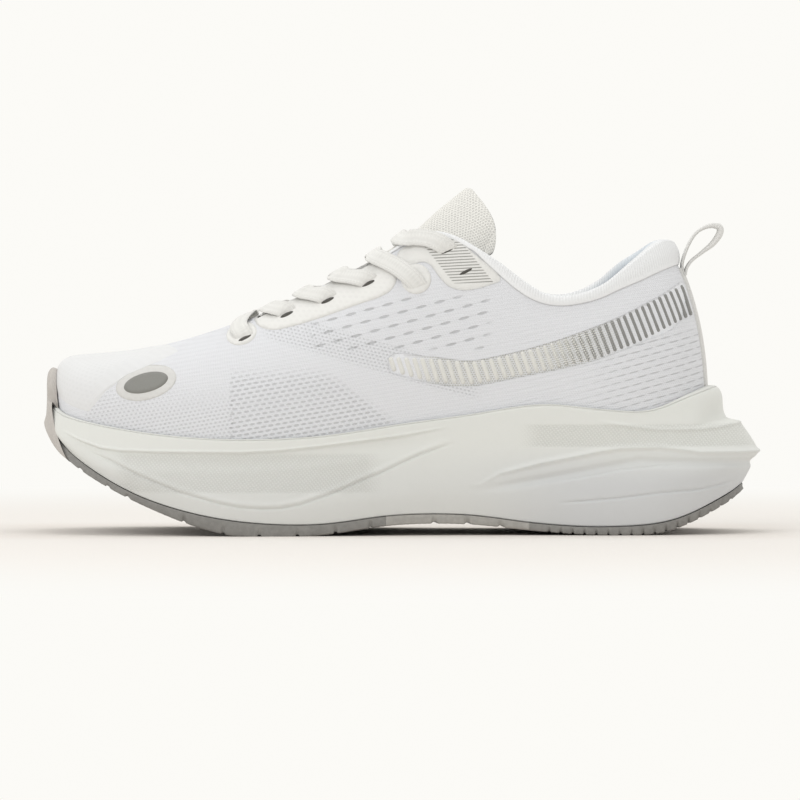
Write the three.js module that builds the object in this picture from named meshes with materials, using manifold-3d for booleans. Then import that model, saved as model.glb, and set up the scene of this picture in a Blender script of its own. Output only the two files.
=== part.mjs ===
// A low running shoe for the left foot: knitted upper on a one-piece foam midsole with a rubber outsole.
// Millimetres. The toe points to -X, the outer (lateral) side to -Y, and the ground is the plane z = 0.
// The origin is under the middle of the shoe's bounding box.
import * as THREE from "three";
import { LoftGeometry } from "three/addons/geometries/LoftGeometry.js";
import { mergeVertices } from "three/addons/utils/BufferGeometryUtils.js";
import Module from "manifold-3d";

const wasm = await Module();
wasm.setup();

// ---------------------------------------------------------------- driving dimensions
const SHOE_LENGTH = 300;
const SOLE_WIDTH = 112;
const SHOE_HEIGHT = 145;

const GAP = 0.3; // between pieces that touch
const INNER_GAP = 0.6; // between the knit and what is stitched inside it
const FIT = 0.4; // between the upper and the midsole cup that it is glued into
const UPPER_THICKNESS = 1.8;
const FILM_THICKNESS = 0.7;
const PATCH_THICKNESS = 0.5;
const PUFF_THICKNESS = 0.8;
const COUNTER_THICKNESS = 1.4;
const PADDING_THICKNESS = 5.5;
const LINING_THICKNESS = 0.9;
const BOARD_THICKNESS = 1.2;
const INSOLE_THICKNESS = 4.5;
const INSOLE_SIDE_CLEARANCE = 5.4;
const RIM_WIDTH = 2.2;
const HEEL_RIM_WIDTH = 4.6;
const RUBBER_EDGE = 0.5; // how far the outsole's edge stands out of the foam
const LUG_GROOVE_WIDTH = 3;
const LUG_GROOVE_DEPTH = 1.6;
const TONGUE_THICKNESS = 5;
const LACE_WIDTH = 7.5;
const LACE_THICKNESS = 1.6;
const LACE_CLEARANCE = 0.8;
const AGLET_LENGTH = 20;
const AGLET_RADIUS = 1.7;
const BACKSTAY_WIDTH = 10;
const BACKSTAY_THICKNESS = 1.3;
const LOOP_WIDTH = 10;

// The rails below are drawn on a shoe of these sizes and scaled to the driving ones.
const DRAWN_LENGTH = 300;
const DRAWN_WIDTH = 112;
const DRAWN_HEIGHT = 145;
const ALONG = SHOE_LENGTH / DRAWN_LENGTH;
const ACROSS = SOLE_WIDTH / DRAWN_WIDTH;
const UP = SHOE_HEIGHT / DRAWN_HEIGHT;

const LATERAL = -1;
const MEDIAL = 1;

const place = (x, y, z) => new THREE.Vector3(x * ALONG, y * ACROSS, z * UP);

// ---------------------------------------------------------------- rails
// A rail is a closed curve round the shoe. Its rows run from the heel to the toe as
// [x, y on the lateral side, y on the medial side, z]; the first and last rows are single points.
function rail(rows) {
  const inner = rows.slice(1, -1);
  const [heel, toe] = [rows[0], rows[rows.length - 1]];
  const points = [
    place(heel[0], heel[1], heel[3]),
    ...inner.map(([x, lateral, , z]) => place(x, lateral, z)),
    place(toe[0], toe[1], toe[3]),
    ...inner.map(([x, , medial, z]) => place(x, medial, z)).reverse(),
  ];
  return new THREE.CatmullRomCurve3(points, true);
}

// The feather line, where the upper meets the strobel board.
const FEATHER = rail([
  [126.5, 0, 0, 36],
  [119, -23, 22, 36],
  [103, -34, 32, 36],
  [82, -38.5, 34.5, 36.5],
  [58, -39, 32, 37],
  [28, -39, 31.5, 37],
  [0, -42.5, 35, 35.5],
  [-36, -48, 44, 31.5],
  [-75, -49, 48, 29.5],
  [-108, -41, 43.5, 31],
  [-132, -22, 29, 37.5],
  [-142.5, 7, 7, 47.5],
]);
// The two rails that pull each rib of the upper into shape, the lower and the upper one.
const WALL = rail([
  [129.5, 0, 0, 69],
  [121.7, -25.7, 24.7, 68.5],
  [104, -36.5, 34, 66],
  [83, -40.5, 37, 62],
  [60, -41.5, 35.5, 62],
  [29, -42, 35.5, 66],
  [1, -45.5, 38.5, 66],
  [-34, -51, 47, 62],
  [-72, -52.5, 51.5, 60],
  [-107, -46, 48, 66],
  [-135, -28, 34, 80],
  [-146.5, 7, 7, 92],
]);
const CROWN = rail([
  [125.2, 0, 0, 97.2],
  [118, -23, 22, 98],
  [101, -33.5, 31, 92],
  [82.5, -37.5, 34, 86],
  [61, -38.5, 34, 86],
  [34, -39.5, 34, 96],
  [6, -41, 36, 100],
  [-24, -43, 40, 90],
  [-57, -43, 43, 79],
  [-93, -38, 41, 72],
  [-126, -19, 27, 68],
  [-140, 7, 7, 64],
]);
// The edge of the opening: the collar's top line and the throat.
const OPENING = rail([
  [113.5, 0, 0, 120.5],
  [109, -15, 14, 121.5],
  [97, -26, 24.5, 112.5],
  [82, -32, 30, 101.5],
  [62, -34, 32, 98.5],
  [40, -34, 32, 114],
  [14, -29, 28, 126.5],
  [-13, -25, 25.5, 113],
  [-42, -22.5, 24, 99.5],
  [-62, -18.5, 20.5, 90.5],
  [-70.5, -9, 13, 87.5],
  [-73, 2, 2, 87],
]);
// The bite line, where the midsole's rim ends on the upper. Only its height is used.
const BITE = rail([
  [0, 0, 0, 61.5],
  [0, 0, 0, 58],
  [0, 0, 0, 51.5],
  [0, 0, 0, 52.4],
  [0, 0, 0, 54.4],
  [0, 0, 0, 50],
  [0, 0, 0, 46.2],
  [0, 0, 0, 41],
  [0, 0, 0, 39.9],
  [0, 0, 0, 42.6],
  [0, 0, 0, 48.3],
  [0, 0, 0, 53.5],
]);
// The widest line of the foam's side wall and the foam's lower edge.
const FOAM_BULGE = rail([
  [150, 0, 0, 35.6],
  [139, -29, 28, 33],
  [113, -43.5, 42.5, 27],
  [86, -45.5, 43.5, 25],
  [58, -44.5, 40.5, 26],
  [28, -44.5, 39.5, 27],
  [-2, -48, 44, 25],
  [-36, -54, 52.5, 21],
  [-75, -55.45, 56, 21.5],
  [-110, -48, 51, 28],
  [-136.5, -29, 35, 38.5],
  [-148, 7, 7, 50.5],
]);
const FOAM_EDGE = rail([
  [145.5, 0, 0, 22],
  [136, -27, 26.5, 16],
  [113, -41, 40, 6],
  [86, -43.5, 42, 3.6],
  [58, -42, 38, 4.9],
  [28, -42.5, 37, 8.6],
  [-2, -46.5, 42, 8.6],
  [-36, -53, 51, 4.7],
  [-75, -55, 54.5, 7.2],
  [-110, -46.5, 49.5, 17],
  [-135, -28, 34, 32],
  [-147, 7, 7, 47.5],
]);
// The outsole's lower edge, a little outside the foam's.
const TREAD_EDGE = rail([
  [146.5, 0, 0, 20],
  [136.5, -27.3, 26.8, 12.6],
  [111, -41.2, 40.2, 1.2],
  [86, -43.8, 42.3, 0],
  [58, -42.3, 38.3, 1.6],
  [28, -42.8, 37.3, 4.6],
  [-2, -46.8, 42.3, 4.4],
  [-36, -53.3, 51.3, 0],
  [-70, -55.4, 54.9, 0],
  [-109, -47, 50, 13.4],
  [-135.5, -29.5, 35.5, 28.6],
  [-149.6, 7, 7, 46],
]);

// ---------------------------------------------------------------- the upper's surface
// Levels up a rib: FOOT at the feather line, BITE_LEVEL at the bite line, TOP at the opening's edge.
const FOOT = 0;
const BITE_LEVEL = 2;
const TOP = 7;
const COLUMNS = 66;
const HEEL_T = 0;
const TOE_T = 0.5;

// A cubic rib from the feather line over the two shaping rails to the opening's edge.
function rib(t, v) {
  const u = 1 - v;
  return new THREE.Vector3()
    .addScaledVector(FEATHER.getPoint(t), u * u * u)
    .addScaledVector(WALL.getPoint(t), 3 * u * u * v)
    .addScaledVector(CROWN.getPoint(t), 3 * u * v * v)
    .addScaledVector(OPENING.getPoint(t), v * v * v);
}

// The place on a rib where it reaches the bite line's height.
const BITE_SEARCH_STEPS = 20;
const HIGHEST_BITE_SHARE = 0.7;
function biteShare(t) {
  const height = BITE.getPoint(t).z;
  let [low, high] = [0, HIGHEST_BITE_SHARE];
  for (let i = 0; i < BITE_SEARCH_STEPS; i++) {
    const middle = (low + high) / 2;
    if (rib(t, middle).z < height) low = middle;
    else high = middle;
  }
  return low;
}

const wrap = (t) => t - Math.floor(t);

// A point of the upper's outer face, moved out by an offset. t runs round the shoe from the heel
// over the lateral side, the toe and the medial side; level runs up from FOOT to TOP.
function upperPoint(t, level, offset) {
  const round = wrap(t);
  const bite = biteShare(round);
  const rising = Math.max(level - BITE_LEVEL, 0) / (TOP - BITE_LEVEL);
  const v = level < BITE_LEVEL ? (bite * level) / BITE_LEVEL : bite + (1 - bite) * rising;
  const step = 1e-3;
  const point = rib(round, v);
  const aroundStep = rib(wrap(round + step), v).sub(rib(wrap(round - step), v));
  const upStep = rib(round, v + step).sub(rib(round, v - step));
  const normal = upStep.cross(aroundStep).normalize();
  return point.addScaledVector(normal, offset);
}

// ---------------------------------------------------------------- building solids
const WELD = 1e-3;

function weld(geometry) {
  const loose = geometry.index ? geometry.toNonIndexed() : geometry;
  const bare = new THREE.BufferGeometry();
  bare.setAttribute("position", loose.getAttribute("position"));
  return mergeVertices(bare, WELD);
}

function toSolid(geometry) {
  const welded = weld(geometry);
  return new wasm.Manifold(
    new wasm.Mesh({
      numProp: 3,
      vertProperties: welded.attributes.position.array,
      triVerts: new Uint32Array(welded.index.array),
    }),
  );
}

function toGeometry(solid) {
  const mesh = solid.getMesh();
  const geometry = new THREE.BufferGeometry();
  geometry.setAttribute("position", new THREE.BufferAttribute(mesh.vertProperties, mesh.numProp));
  geometry.setIndex(new THREE.BufferAttribute(mesh.triVerts, 1));
  return geometry;
}

// The main body of a cut piece, without the crumbs that a cut along a face can leave.
function mainBody(solid) {
  return solid.decompose().reduce((a, b) => (b.volume() > a.volume() ? b : a));
}

// Evenly spaced columns round the shoe.
const columns = Array.from({ length: COLUMNS }, (_, i) => i / COLUMNS);
const ringOf = (makePoint) => columns.map((t) => makePoint(t));

// A ring drawn towards the line midway between its two sides; a share of 1 closes it there.
function towardsSpine(ring, share, rise = 0) {
  return ring.map((point, i) => {
    const across = ring[(COLUMNS - i) % COLUMNS];
    const middle = point.clone().add(across).multiplyScalar(0.5);
    middle.z += rise;
    return point.clone().lerp(middle, share);
  });
}

const raised = (ring, height) => ring.map((p) => new THREE.Vector3(p.x, p.y, p.z + height));

// Rings from the bottom of the outside up, over the top and back down the inside.
const loftRings = (rings) => new LoftGeometry(rings.map((ring) => [...ring].reverse()));

// A sheet on the upper that goes all the way round, between two offsets.
function bandSolid(levels, outerOffset, innerOffset) {
  const outer = levels.map((level) => ringOf((t) => upperPoint(t, level, outerOffset)));
  const inner = levels.map((level) => ringOf((t) => upperPoint(t, level, innerOffset))).reverse();
  return loftRings([...outer, ...inner, outer[0]]);
}

// A loft through section loops that go up one face and down the other. Each end is closed along
// the line midway between the two faces.
function loftSheet(sections) {
  const closed = (loop) => loop.map((p, k) => p.clone().lerp(loop[loop.length - 1 - k], 0.5));
  return new LoftGeometry([closed(sections[0]), ...sections, closed(sections[sections.length - 1])]);
}

// A sheet on the upper between two columns.
function patchSolid(firstColumn, lastColumn, section) {
  const sections = [];
  for (let i = firstColumn; i <= lastColumn; i++) sections.push(section(i / COLUMNS));
  return loftSheet(sections);
}

function sheetSection(t, levels, outerOffset, innerOffset) {
  const outer = levels.map((level) => upperPoint(t, level, outerOffset));
  const inner = levels.map((level) => upperPoint(t, level, innerOffset)).reverse();
  return [...outer, ...inner];
}

// ---------------------------------------------------------------- overlays cut from a film layer
const CUTTER_REACH = 90;

// A prism along Y on one side of the shoe, from an outline in x and z.
function sidePrism(outline, side, curveSegments = 5) {
  const depth = CUTTER_REACH * ACROSS;
  const prism = new THREE.ExtrudeGeometry(outline, { depth, bevelEnabled: false, curveSegments });
  prism.rotateX(Math.PI / 2);
  if (side === MEDIAL) prism.translate(0, depth, 0);
  return prism;
}

const flat = ([x, z]) => new THREE.Vector2(x * ALONG, z * UP);

function polygon(points) {
  return new THREE.Shape(points.map(flat));
}

function ellipse(x, z, halfLength, halfHeight, turn = 0) {
  const centre = flat([x, z]);
  return new THREE.Shape().absellipse(centre.x, centre.y, halfLength, halfHeight, 0, 2 * Math.PI, false, turn);
}

const upperLevels = [FOOT, 1, 2, 3, 4, 5, 6, TOP];
const visibleLevels = [BITE_LEVEL + 0.15, ...upperLevels.slice(BITE_LEVEL + 1)]; // clear of the rim
const upperSpace = toSolid(bandSolid([...upperLevels, TOP + 0.1], GAP, -UPPER_THICKNESS));
const layerOver = (top) => toSolid(bandSolid(visibleLevels, top, -UPPER_THICKNESS / 2)).subtract(upperSpace);
const filmLayer = layerOver(GAP + FILM_THICKNESS);

function overlay(outline, side) {
  return filmLayer.intersect(toSolid(sidePrism(outline, side)));
}

// ---------------------------------------------------------------- lace route
const EYELETS = [
  [-65.4, 83.1],
  [-47.9, 92.9],
  [-30.8, 98.8],
  [-13.8, 106],
  [6.5, 105.2],
  [19.2, 119.8],
];
const SLOT_DIRECTION = new THREE.Vector3(Math.cos(Math.PI / 7), 0, Math.sin(Math.PI / 7));
const LACE_OVER = GAP + FILM_THICKNESS + LACE_CLEARANCE + LACE_THICKNESS / 2;
const LACE_UNDER = -(UPPER_THICKNESS + LACE_CLEARANCE + LACE_THICKNESS / 2);
const LACE_ON_TONGUE = LACE_CLEARANCE + LACE_THICKNESS / 2;
const LACE_CROSSING_RISE = LACE_THICKNESS + LACE_CLEARANCE;

// Finds t and level where the upper's face passes through an x and z on one side.
function locate(side, x, z) {
  const target = flat([x, z]);
  const seenFrom = (t, level) => {
    const p = upperPoint(t, level, 0);
    return new THREE.Vector2(p.x, p.z);
  };
  let best = { distance: Infinity };
  for (let i = 1; i < COLUMNS / 2; i++) {
    const t = (side === LATERAL ? i : COLUMNS - i) / COLUMNS;
    for (let level = BITE_LEVEL; level <= TOP; level++) {
      const distance = seenFrom(t, level).distanceTo(target);
      if (distance < best.distance) best = { distance, t, level };
    }
  }
  let { t, level } = best;
  const [dt, dl] = [1e-4, 1e-3];
  for (let i = 0; i < 8; i++) {
    const here = seenFrom(t, level);
    const a = seenFrom(t + dt, level).sub(here).divideScalar(dt);
    const b = seenFrom(t, level + dl).sub(here).divideScalar(dl);
    const miss = target.clone().sub(here);
    const area = a.cross(b);
    t += miss.cross(b) / area;
    level += a.cross(miss) / area;
  }
  return { t, level };
}

// ---------------------------------------------------------------- the shoe's parts
const shoe = new THREE.Group();
shoe.name = "shoe";

function add(parent, name, geometry, color, roughness = 0.9) {
  const mesh = new THREE.Mesh(geometry, new THREE.MeshStandardMaterial({ color, roughness, metalness: 0 }));
  mesh.name = name;
  parent.add(mesh);
}

const sideName = (side) => (side === LATERAL ? "lateral" : "medial");

// ---- midsole: one foam body with a cup that the upper sits in
const halfway = (a, b, outward) => (t) => {
  const point = a.getPoint(t).lerp(b.getPoint(t), 0.5);
  const normal = upperPoint(t, BITE_LEVEL, 1).sub(upperPoint(t, BITE_LEVEL, 0));
  normal.z = 0;
  return point.addScaledVector(normal.normalize(), outward);
};

// The rim is wider round the heel than elsewhere.
const HEEL_RIM_REACH = 0.12;
function rimWidth(t) {
  const fromHeel = Math.min(t, 1 - t);
  const heelShare = Math.max(0, 1 - fromHeel / HEEL_RIM_REACH);
  return RIM_WIDTH + (HEEL_RIM_WIDTH - RIM_WIDTH) * heelShare * heelShare;
}

const FOAM_LOWER_SWELL = 0.8;
const rimInner = ringOf((t) => upperPoint(t, BITE_LEVEL, FIT));
const rimOuter = ringOf((t) => {
  const inner = upperPoint(t, BITE_LEVEL, FIT);
  const outer = upperPoint(t, BITE_LEVEL, FIT + rimWidth(t));
  outer.z = inner.z;
  return outer;
});
const foamEdge = ringOf((t) => FOAM_EDGE.getPoint(t));
const foamBulge = ringOf((t) => FOAM_BULGE.getPoint(t));
const foamLowerSide = ringOf(halfway(FOAM_EDGE, FOAM_BULGE, FOAM_LOWER_SWELL));
const foamUpperSide = foamBulge.map((p, i) => p.clone().lerp(rimOuter[i], 0.5));
const cupFloor = raised(ringOf((t) => upperPoint(t, FOOT, FIT)), -GAP);

// Moved out by a swell, it is the space that the rubber has to stay clear of.
function midsole(swell = 0) {
  const swollen = (ring) =>
    ring.map((p, i) => {
      const normal = upperPoint(columns[i], BITE_LEVEL, 1).sub(upperPoint(columns[i], BITE_LEVEL, 0));
      normal.z = 0;
      return p.clone().addScaledVector(normal.normalize(), swell);
    });
  return loftRings([
    raised(towardsSpine(foamEdge, 1), -swell),
    raised(towardsSpine(foamEdge, 0.5), -swell),
    raised(swollen(foamEdge), -swell),
    swollen(foamLowerSide),
    swollen(foamBulge),
    swollen(foamUpperSide),
    raised(swollen(rimOuter), swell),
    raised(rimInner, swell),
    ringOf((t) => upperPoint(t, 1, FIT)),
    cupFloor,
    towardsSpine(cupFloor, 1),
  ]);
}

// ---- outsole: one rubber layer under the foam, cut into a forefoot, an arch and two heel pieces
function wholeTread() {
  const top = raised(foamEdge, -GAP);
  const lower = ringOf((t) => TREAD_EDGE.getPoint(t));
  const edge = top.map((p, i) => {
    const out = lower[i].clone().sub(towardsSpine(lower, 1)[i]);
    out.z = 0;
    return p.clone().addScaledVector(out.normalize(), RUBBER_EDGE);
  });
  return toSolid(
    loftRings([
      towardsSpine(lower, 1),
      towardsSpine(lower, 0.5),
      lower,
      edge,
      towardsSpine(top, 0.5),
      towardsSpine(top, 1),
    ]),
  );
}

// The rubber toe bumper stands up in front of the toe and joins the forefoot's rubber.
const BUMPER_COLUMNS = 3;
const BUMPER_HEIGHT_LEVEL = 3.05;
const BUMPER_SIDE_LEVEL = 2.4;
const BUMPER_THICKNESS = 1.7;
function bumper() {
  const toeColumn = COLUMNS / 2;
  return toSolid(
    patchSolid(toeColumn - BUMPER_COLUMNS, toeColumn + BUMPER_COLUMNS, (t) => {
      const side = Math.abs(t - TOE_T) / (BUMPER_COLUMNS / COLUMNS);
      const topLevel = THREE.MathUtils.lerp(BUMPER_HEIGHT_LEVEL, BUMPER_SIDE_LEVEL, side * side);
      const clear = GAP * 3 + FILM_THICKNESS;
      const rimClear = FIT + rimWidth(t) + GAP;
      const low = FOAM_BULGE.getPoint(t);
      const outward = upperPoint(t, BITE_LEVEL, 1).sub(upperPoint(t, BITE_LEVEL, 0));
      outward.z = 0;
      outward.normalize();
      const beside = (point, distance, height) =>
        new THREE.Vector3(point.x, point.y, point.z + height).addScaledVector(outward, distance);
      const rim = upperPoint(t, BITE_LEVEL, rimClear);
      return [
        upperPoint(t, topLevel, clear),
        upperPoint(t, BITE_LEVEL + 0.25, clear),
        beside(rim, 0.1, 1),
        beside(low, GAP, 0),
        beside(FOAM_EDGE.getPoint(t), GAP, 0),
        beside(TREAD_EDGE.getPoint(t), -0.6, -0.5),
        beside(TREAD_EDGE.getPoint(t), 0.2, 0),
        beside(low, BUMPER_THICKNESS + 0.4, 0),
        beside(rim, BUMPER_THICKNESS, 1),
        upperPoint(t, topLevel - 0.2, clear + BUMPER_THICKNESS),
      ];
    }),
  );
}

const FOREFOOT_END = -8;
const ARCH_START = -4;
const ARCH_END = 52;
const HEEL_START = 56;
const HEEL_SPLIT_WIDTH = 10;
const GROOVES = [-95, -79, -64, -48, -32];
const HEEL_GROOVES = [72, 90, 108];
const BELOW_GROUND = -20;

// A box over the whole width of the sole, from one x to another.
function crossBox(fromX, toX, bottom, top, fromY = -CUTTER_REACH, toY = CUTTER_REACH) {
  const box = new THREE.BoxGeometry(toX - fromX, (toY - fromY) * ACROSS, top - bottom);
  box.translate((fromX + toX) / 2, ((fromY + toY) / 2) * ACROSS, (bottom + top) / 2);
  return toSolid(box);
}

function grooved(solid, grooves) {
  let cut = solid;
  for (const x of grooves) {
    const middle = x * ALONG;
    const half = LUG_GROOVE_WIDTH / 2;
    cut = cut.subtract(crossBox(middle - half, middle + half, BELOW_GROUND, LUG_GROOVE_DEPTH));
  }
  return cut;
}

const tread = wholeTread();
const SOLE_REACH = 160 * ALONG;
const SOLE_TOP = 90 * UP;
const between = (fromX, toX) => tread.intersect(crossBox(fromX, toX, 0, SOLE_TOP)); // flat on the ground
const forefoot = grooved(between(-SOLE_REACH, FOREFOOT_END * ALONG), GROOVES);
const heelRubber = grooved(between(HEEL_START * ALONG, SOLE_REACH), HEEL_GROOVES);
const halfSplit = HEEL_SPLIT_WIDTH / 2 / ACROSS;
const lateralHalf = crossBox(-SOLE_REACH, SOLE_REACH, BELOW_GROUND, SOLE_TOP, -CUTTER_REACH, -halfSplit);
const medialHalf = crossBox(-SOLE_REACH, SOLE_REACH, BELOW_GROUND, SOLE_TOP, halfSplit, CUTTER_REACH);

const RUBBER = 0x8b8c8a;
const foamClearance = toSolid(midsole(GAP));
const filmClearance = toSolid(bandSolid(upperLevels, GAP * 2 + FILM_THICKNESS, -UPPER_THICKNESS));
const toeRubber = bumper().subtract(filmClearance).subtract(foamClearance);
add(shoe, "outsole_forefoot", toGeometry(mainBody(forefoot.add(toeRubber).subtract(foamClearance))), RUBBER);
add(shoe, "outsole_arch", toGeometry(between(ARCH_START * ALONG, ARCH_END * ALONG)), 0xb9bab6);
add(shoe, "outsole_heel_lateral", toGeometry(heelRubber.intersect(lateralHalf)), RUBBER);
add(shoe, "outsole_heel_medial", toGeometry(heelRubber.intersect(medialHalf)), RUBBER);
add(shoe, "midsole", midsole(), 0xe3e4df, 0.7);

// ---- board and insole inside the cup
const INSOLE_EDGE_LEVEL = 0.8;

function flatPad(ring, thickness) {
  const top = raised(ring, thickness);
  return loftRings([towardsSpine(ring, 1), ring, top, towardsSpine(top, 1)]);
}

const boardBottom = ringOf((t) => upperPoint(t, FOOT, -UPPER_THICKNESS - GAP));
const insoleBottom = columns.map((t, i) => {
  const edge = upperPoint(t, INSOLE_EDGE_LEVEL, -INSOLE_SIDE_CLEARANCE);
  edge.z = boardBottom[i].z + BOARD_THICKNESS + GAP;
  return edge;
});
add(shoe, "strobel_board", flatPad(boardBottom, BOARD_THICKNESS), 0xd8d6cf);
add(shoe, "insole", flatPad(insoleBottom, INSOLE_THICKNESS), 0xc4c8cc);

// ---- lace: one flat cord through all twelve slots, its ends tucked inside the shoe
const LACE_SIDES = 8;
const tongueSpine = new THREE.CatmullRomCurve3(
  [
    [-79, 81.6],
    [-60, 87.5],
    [-42, 97.5],
    [-25, 107.5],
    [-8, 117],
    [4, 125.5],
    [16, 135.5],
    [28, 144.4],
  ].map(([x, z]) => place(x, 1, z)),
);
const HINGE_SHARE = 0.79;
const TAPER_START = 0.55;
const TIP_REACH = 0.27;
const TIP_NARROWEST = 0.3;
const TONGUE_LOW_HALF_WIDTH = 26;
const TONGUE_TOP_HALF_WIDTH = 20;
const TONGUE_LOW_DROP = 10;
const TONGUE_TOP_DROP = 22;

// A point of the tongue's outer face: share runs up its length, side from -1 to 1 across it.
function tonguePoint(share, side, depth) {
  const centre = tongueSpine.getPointAt(share);
  const along = tongueSpine.getTangentAt(share);
  const inward = new THREE.Vector3(along.z, 0, -along.x);
  const rise = THREE.MathUtils.smoothstep(share, TAPER_START, 1);
  const half = THREE.MathUtils.lerp(TONGUE_LOW_HALF_WIDTH, TONGUE_TOP_HALF_WIDTH, rise) * ACROSS;
  const pastHinge = Math.max(0, share - HINGE_SHARE) / TIP_REACH;
  const tip = Math.sqrt(Math.max(TIP_NARROWEST, 1 - pastHinge ** 4));
  const drop = THREE.MathUtils.lerp(TONGUE_LOW_DROP, TONGUE_TOP_DROP, rise);
  return centre
    .addScaledVector(new THREE.Vector3(0, 1, 0), half * side * tip)
    .addScaledVector(inward, drop * side * side + depth);
}

// Where each crossing lies on the tongue, as a share of its length.
const CROSSINGS = [0.24, 0.35, 0.48, 0.61, 0.71];

// Where the lace's points lie about a slot: the mouth on each face, the bend inside the wall, and the
// place under the opening's edge, as levels from the slot.
const SLOT_MOUTH = 0.12;
const SLOT_BEND = -0.22;
const UNDER_EDGE = 0.7;
const UNDER_EDGE_LEAN = 0.006;
const TONGUE_SIDE = 0.62;
const STRAND_BEND = 0.4; // share of a strand, from its slot, where it has a point of its own
const STRAND_REACH = [3, 8, 11, 14, 17, 20]; // how far toeward of each slot its strand comes over the edge
const OVER_EDGE = 0.3;

// The column where the opening's edge passes an x on one side.
function edgeColumn(side, x) {
  let [low, high] = [0.02, 0.48];
  for (let i = 0; i < BITE_SEARCH_STEPS; i++) {
    const middle = (low + high) / 2;
    const t = side === LATERAL ? middle : 1 - middle;
    if (OPENING.getPoint(t).x > x * ALONG) low = middle;
    else high = middle;
  }
  return side === LATERAL ? low : 1 - low;
}

const faceOf = (t, level) => upperPoint(t, level, 1).sub(upperPoint(t, level, 0));
const tongueFace = (share) => tonguePoint(share, 0, -1).sub(tonguePoint(share, 0, 0));

// Half of the lace, from the middle of the bottom bar to the last slot, as points with the direction
// that the lace's flat face looks there; none where it turns through a slot. first is the side of the
// slot it enters first, and over says which crossings pass on top.
function laceHalf(first, over) {
  const points = [];
  const onUpper = (t, level, offset) => points.push({ at: upperPoint(t, level, offset), face: faceOf(t, level) });
  const inSlot = (slot, level, offset) => points.push({ at: upperPoint(slot.t, slot.level + level, offset) });
  let side = first;
  EYELETS.forEach(([x, z], i) => {
    const slot = locate(side, x, z);
    const edgeT = edgeColumn(side, x - STRAND_REACH[i]);
    onUpper(edgeT, TOP, LACE_OVER + OVER_EDGE);
    const bendT = THREE.MathUtils.lerp(slot.t, edgeT, STRAND_BEND);
    onUpper(bendT, THREE.MathUtils.lerp(slot.level, TOP, STRAND_BEND), LACE_OVER);
    inSlot(slot, SLOT_MOUTH, LACE_OVER);
    inSlot(slot, SLOT_BEND, (LACE_OVER + LACE_UNDER) / 2);
    inSlot(slot, SLOT_MOUTH, LACE_UNDER);
    if (i === EYELETS.length - 1) return;
    const underT = slot.t - (side === LATERAL ? 1 : -1) * UNDER_EDGE_LEAN;
    const underLevel = Math.min(slot.level + UNDER_EDGE, TOP - 0.1);
    onUpper(underT, underLevel, LACE_UNDER - 0.4);
    const crossShare = CROSSINGS[i];
    const lift = (i % 2 === 0) === over ? LACE_CROSSING_RISE : 0;
    const face = tongueFace(crossShare);
    points.push({ at: tonguePoint(crossShare, side * TONGUE_SIDE, -LACE_ON_TONGUE), face });
    points.push({ at: tonguePoint(crossShare, 0, -LACE_ON_TONGUE - lift), face });
    side = -side;
  });
  return { points, side };
}

// The tucked ends run down inside the quarter and forward along the side of the insole.
const TUCKED_END = [
  [13, 24, 108],
  [9, 24, 97],
  [6, 23, 82],
  [-4, 27, 66],
  [-16, 31, 54],
  [-32, 35, 46],
  [-50, 37, 42.5],
  [-68, 37.5, 41.5],
];

const tuckedPoints = (side) => TUCKED_END.map(([x, y, z]) => ({ at: place(x, side * y, z) }));

const BAR_SHARE = 0.1;
const BAR_RISE = 4;

// The whole route, from one tucked end to the other.
function laceRoute() {
  const one = laceHalf(LATERAL, true);
  const two = laceHalf(MEDIAL, false);
  const bar = [{ at: tonguePoint(BAR_SHARE, 0, -LACE_ON_TONGUE - BAR_RISE), face: tongueFace(BAR_SHARE) }];
  return [
    ...[...one.points, ...tuckedPoints(one.side)].reverse(),
    ...bar,
    ...two.points,
    ...tuckedPoints(two.side),
  ];
}

// The lace's sections along the route: flat on what it lies on, with its width along the slots elsewhere.
function laceSolid(route, swell) {
  const curve = new THREE.CatmullRomCurve3(route.map(({ at }) => at));
  const steps = route.length - 1;
  const sections = route.map(({ at: point, face }, i) => {
    const along = curve.getTangent(i / steps);
    const width = face ? face.clone().cross(along) : SLOT_DIRECTION.clone();
    width.addScaledVector(along, -width.dot(along)).normalize();
    if (width.dot(SLOT_DIRECTION) < 0) width.negate();
    const height = along.clone().cross(width);
    return Array.from({ length: LACE_SIDES }, (_, k) => {
      const angle = ((k + 0.5) / LACE_SIDES) * 2 * Math.PI;
      const reach = 1 / Math.cos(Math.PI / LACE_SIDES);
      const a = Math.sign(Math.cos(angle)) * Math.abs(Math.cos(angle)) ** 0.5 * (LACE_WIDTH / 2 + swell);
      const b = Math.sin(angle) * reach * (LACE_THICKNESS / 2 + swell);
      return point.clone().addScaledVector(width, a).addScaledVector(height, b);
    });
  });
  return toSolid(new LoftGeometry(sections, { capStart: true, capEnd: true }));
}

const route = laceRoute();
const lace = laceSolid(route, 0);
const laceSpace = laceSolid(route, GAP);
add(shoe, "lace", toGeometry(lace), 0xf1eee6);

// ---- the upper and its stiffeners
const upper = toSolid(bandSolid(upperLevels, 0, -UPPER_THICKNESS)).subtract(laceSpace);
add(shoe, "upper_mesh", toGeometry(mainBody(upper)), 0xf0f1f3);

const PUFF_COLUMNS = 8;
const toe = COLUMNS / 2;
const insideUpper = -UPPER_THICKNESS - INNER_GAP;
const puffLevels = [0.8, 1, 2, 3, 4, 5];
const puff = patchSolid(toe - PUFF_COLUMNS, toe + PUFF_COLUMNS, (t) =>
  sheetSection(t, puffLevels, insideUpper, insideUpper - PUFF_THICKNESS),
);
add(shoe, "toe_puff", puff, 0xcfc9bb);

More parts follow.
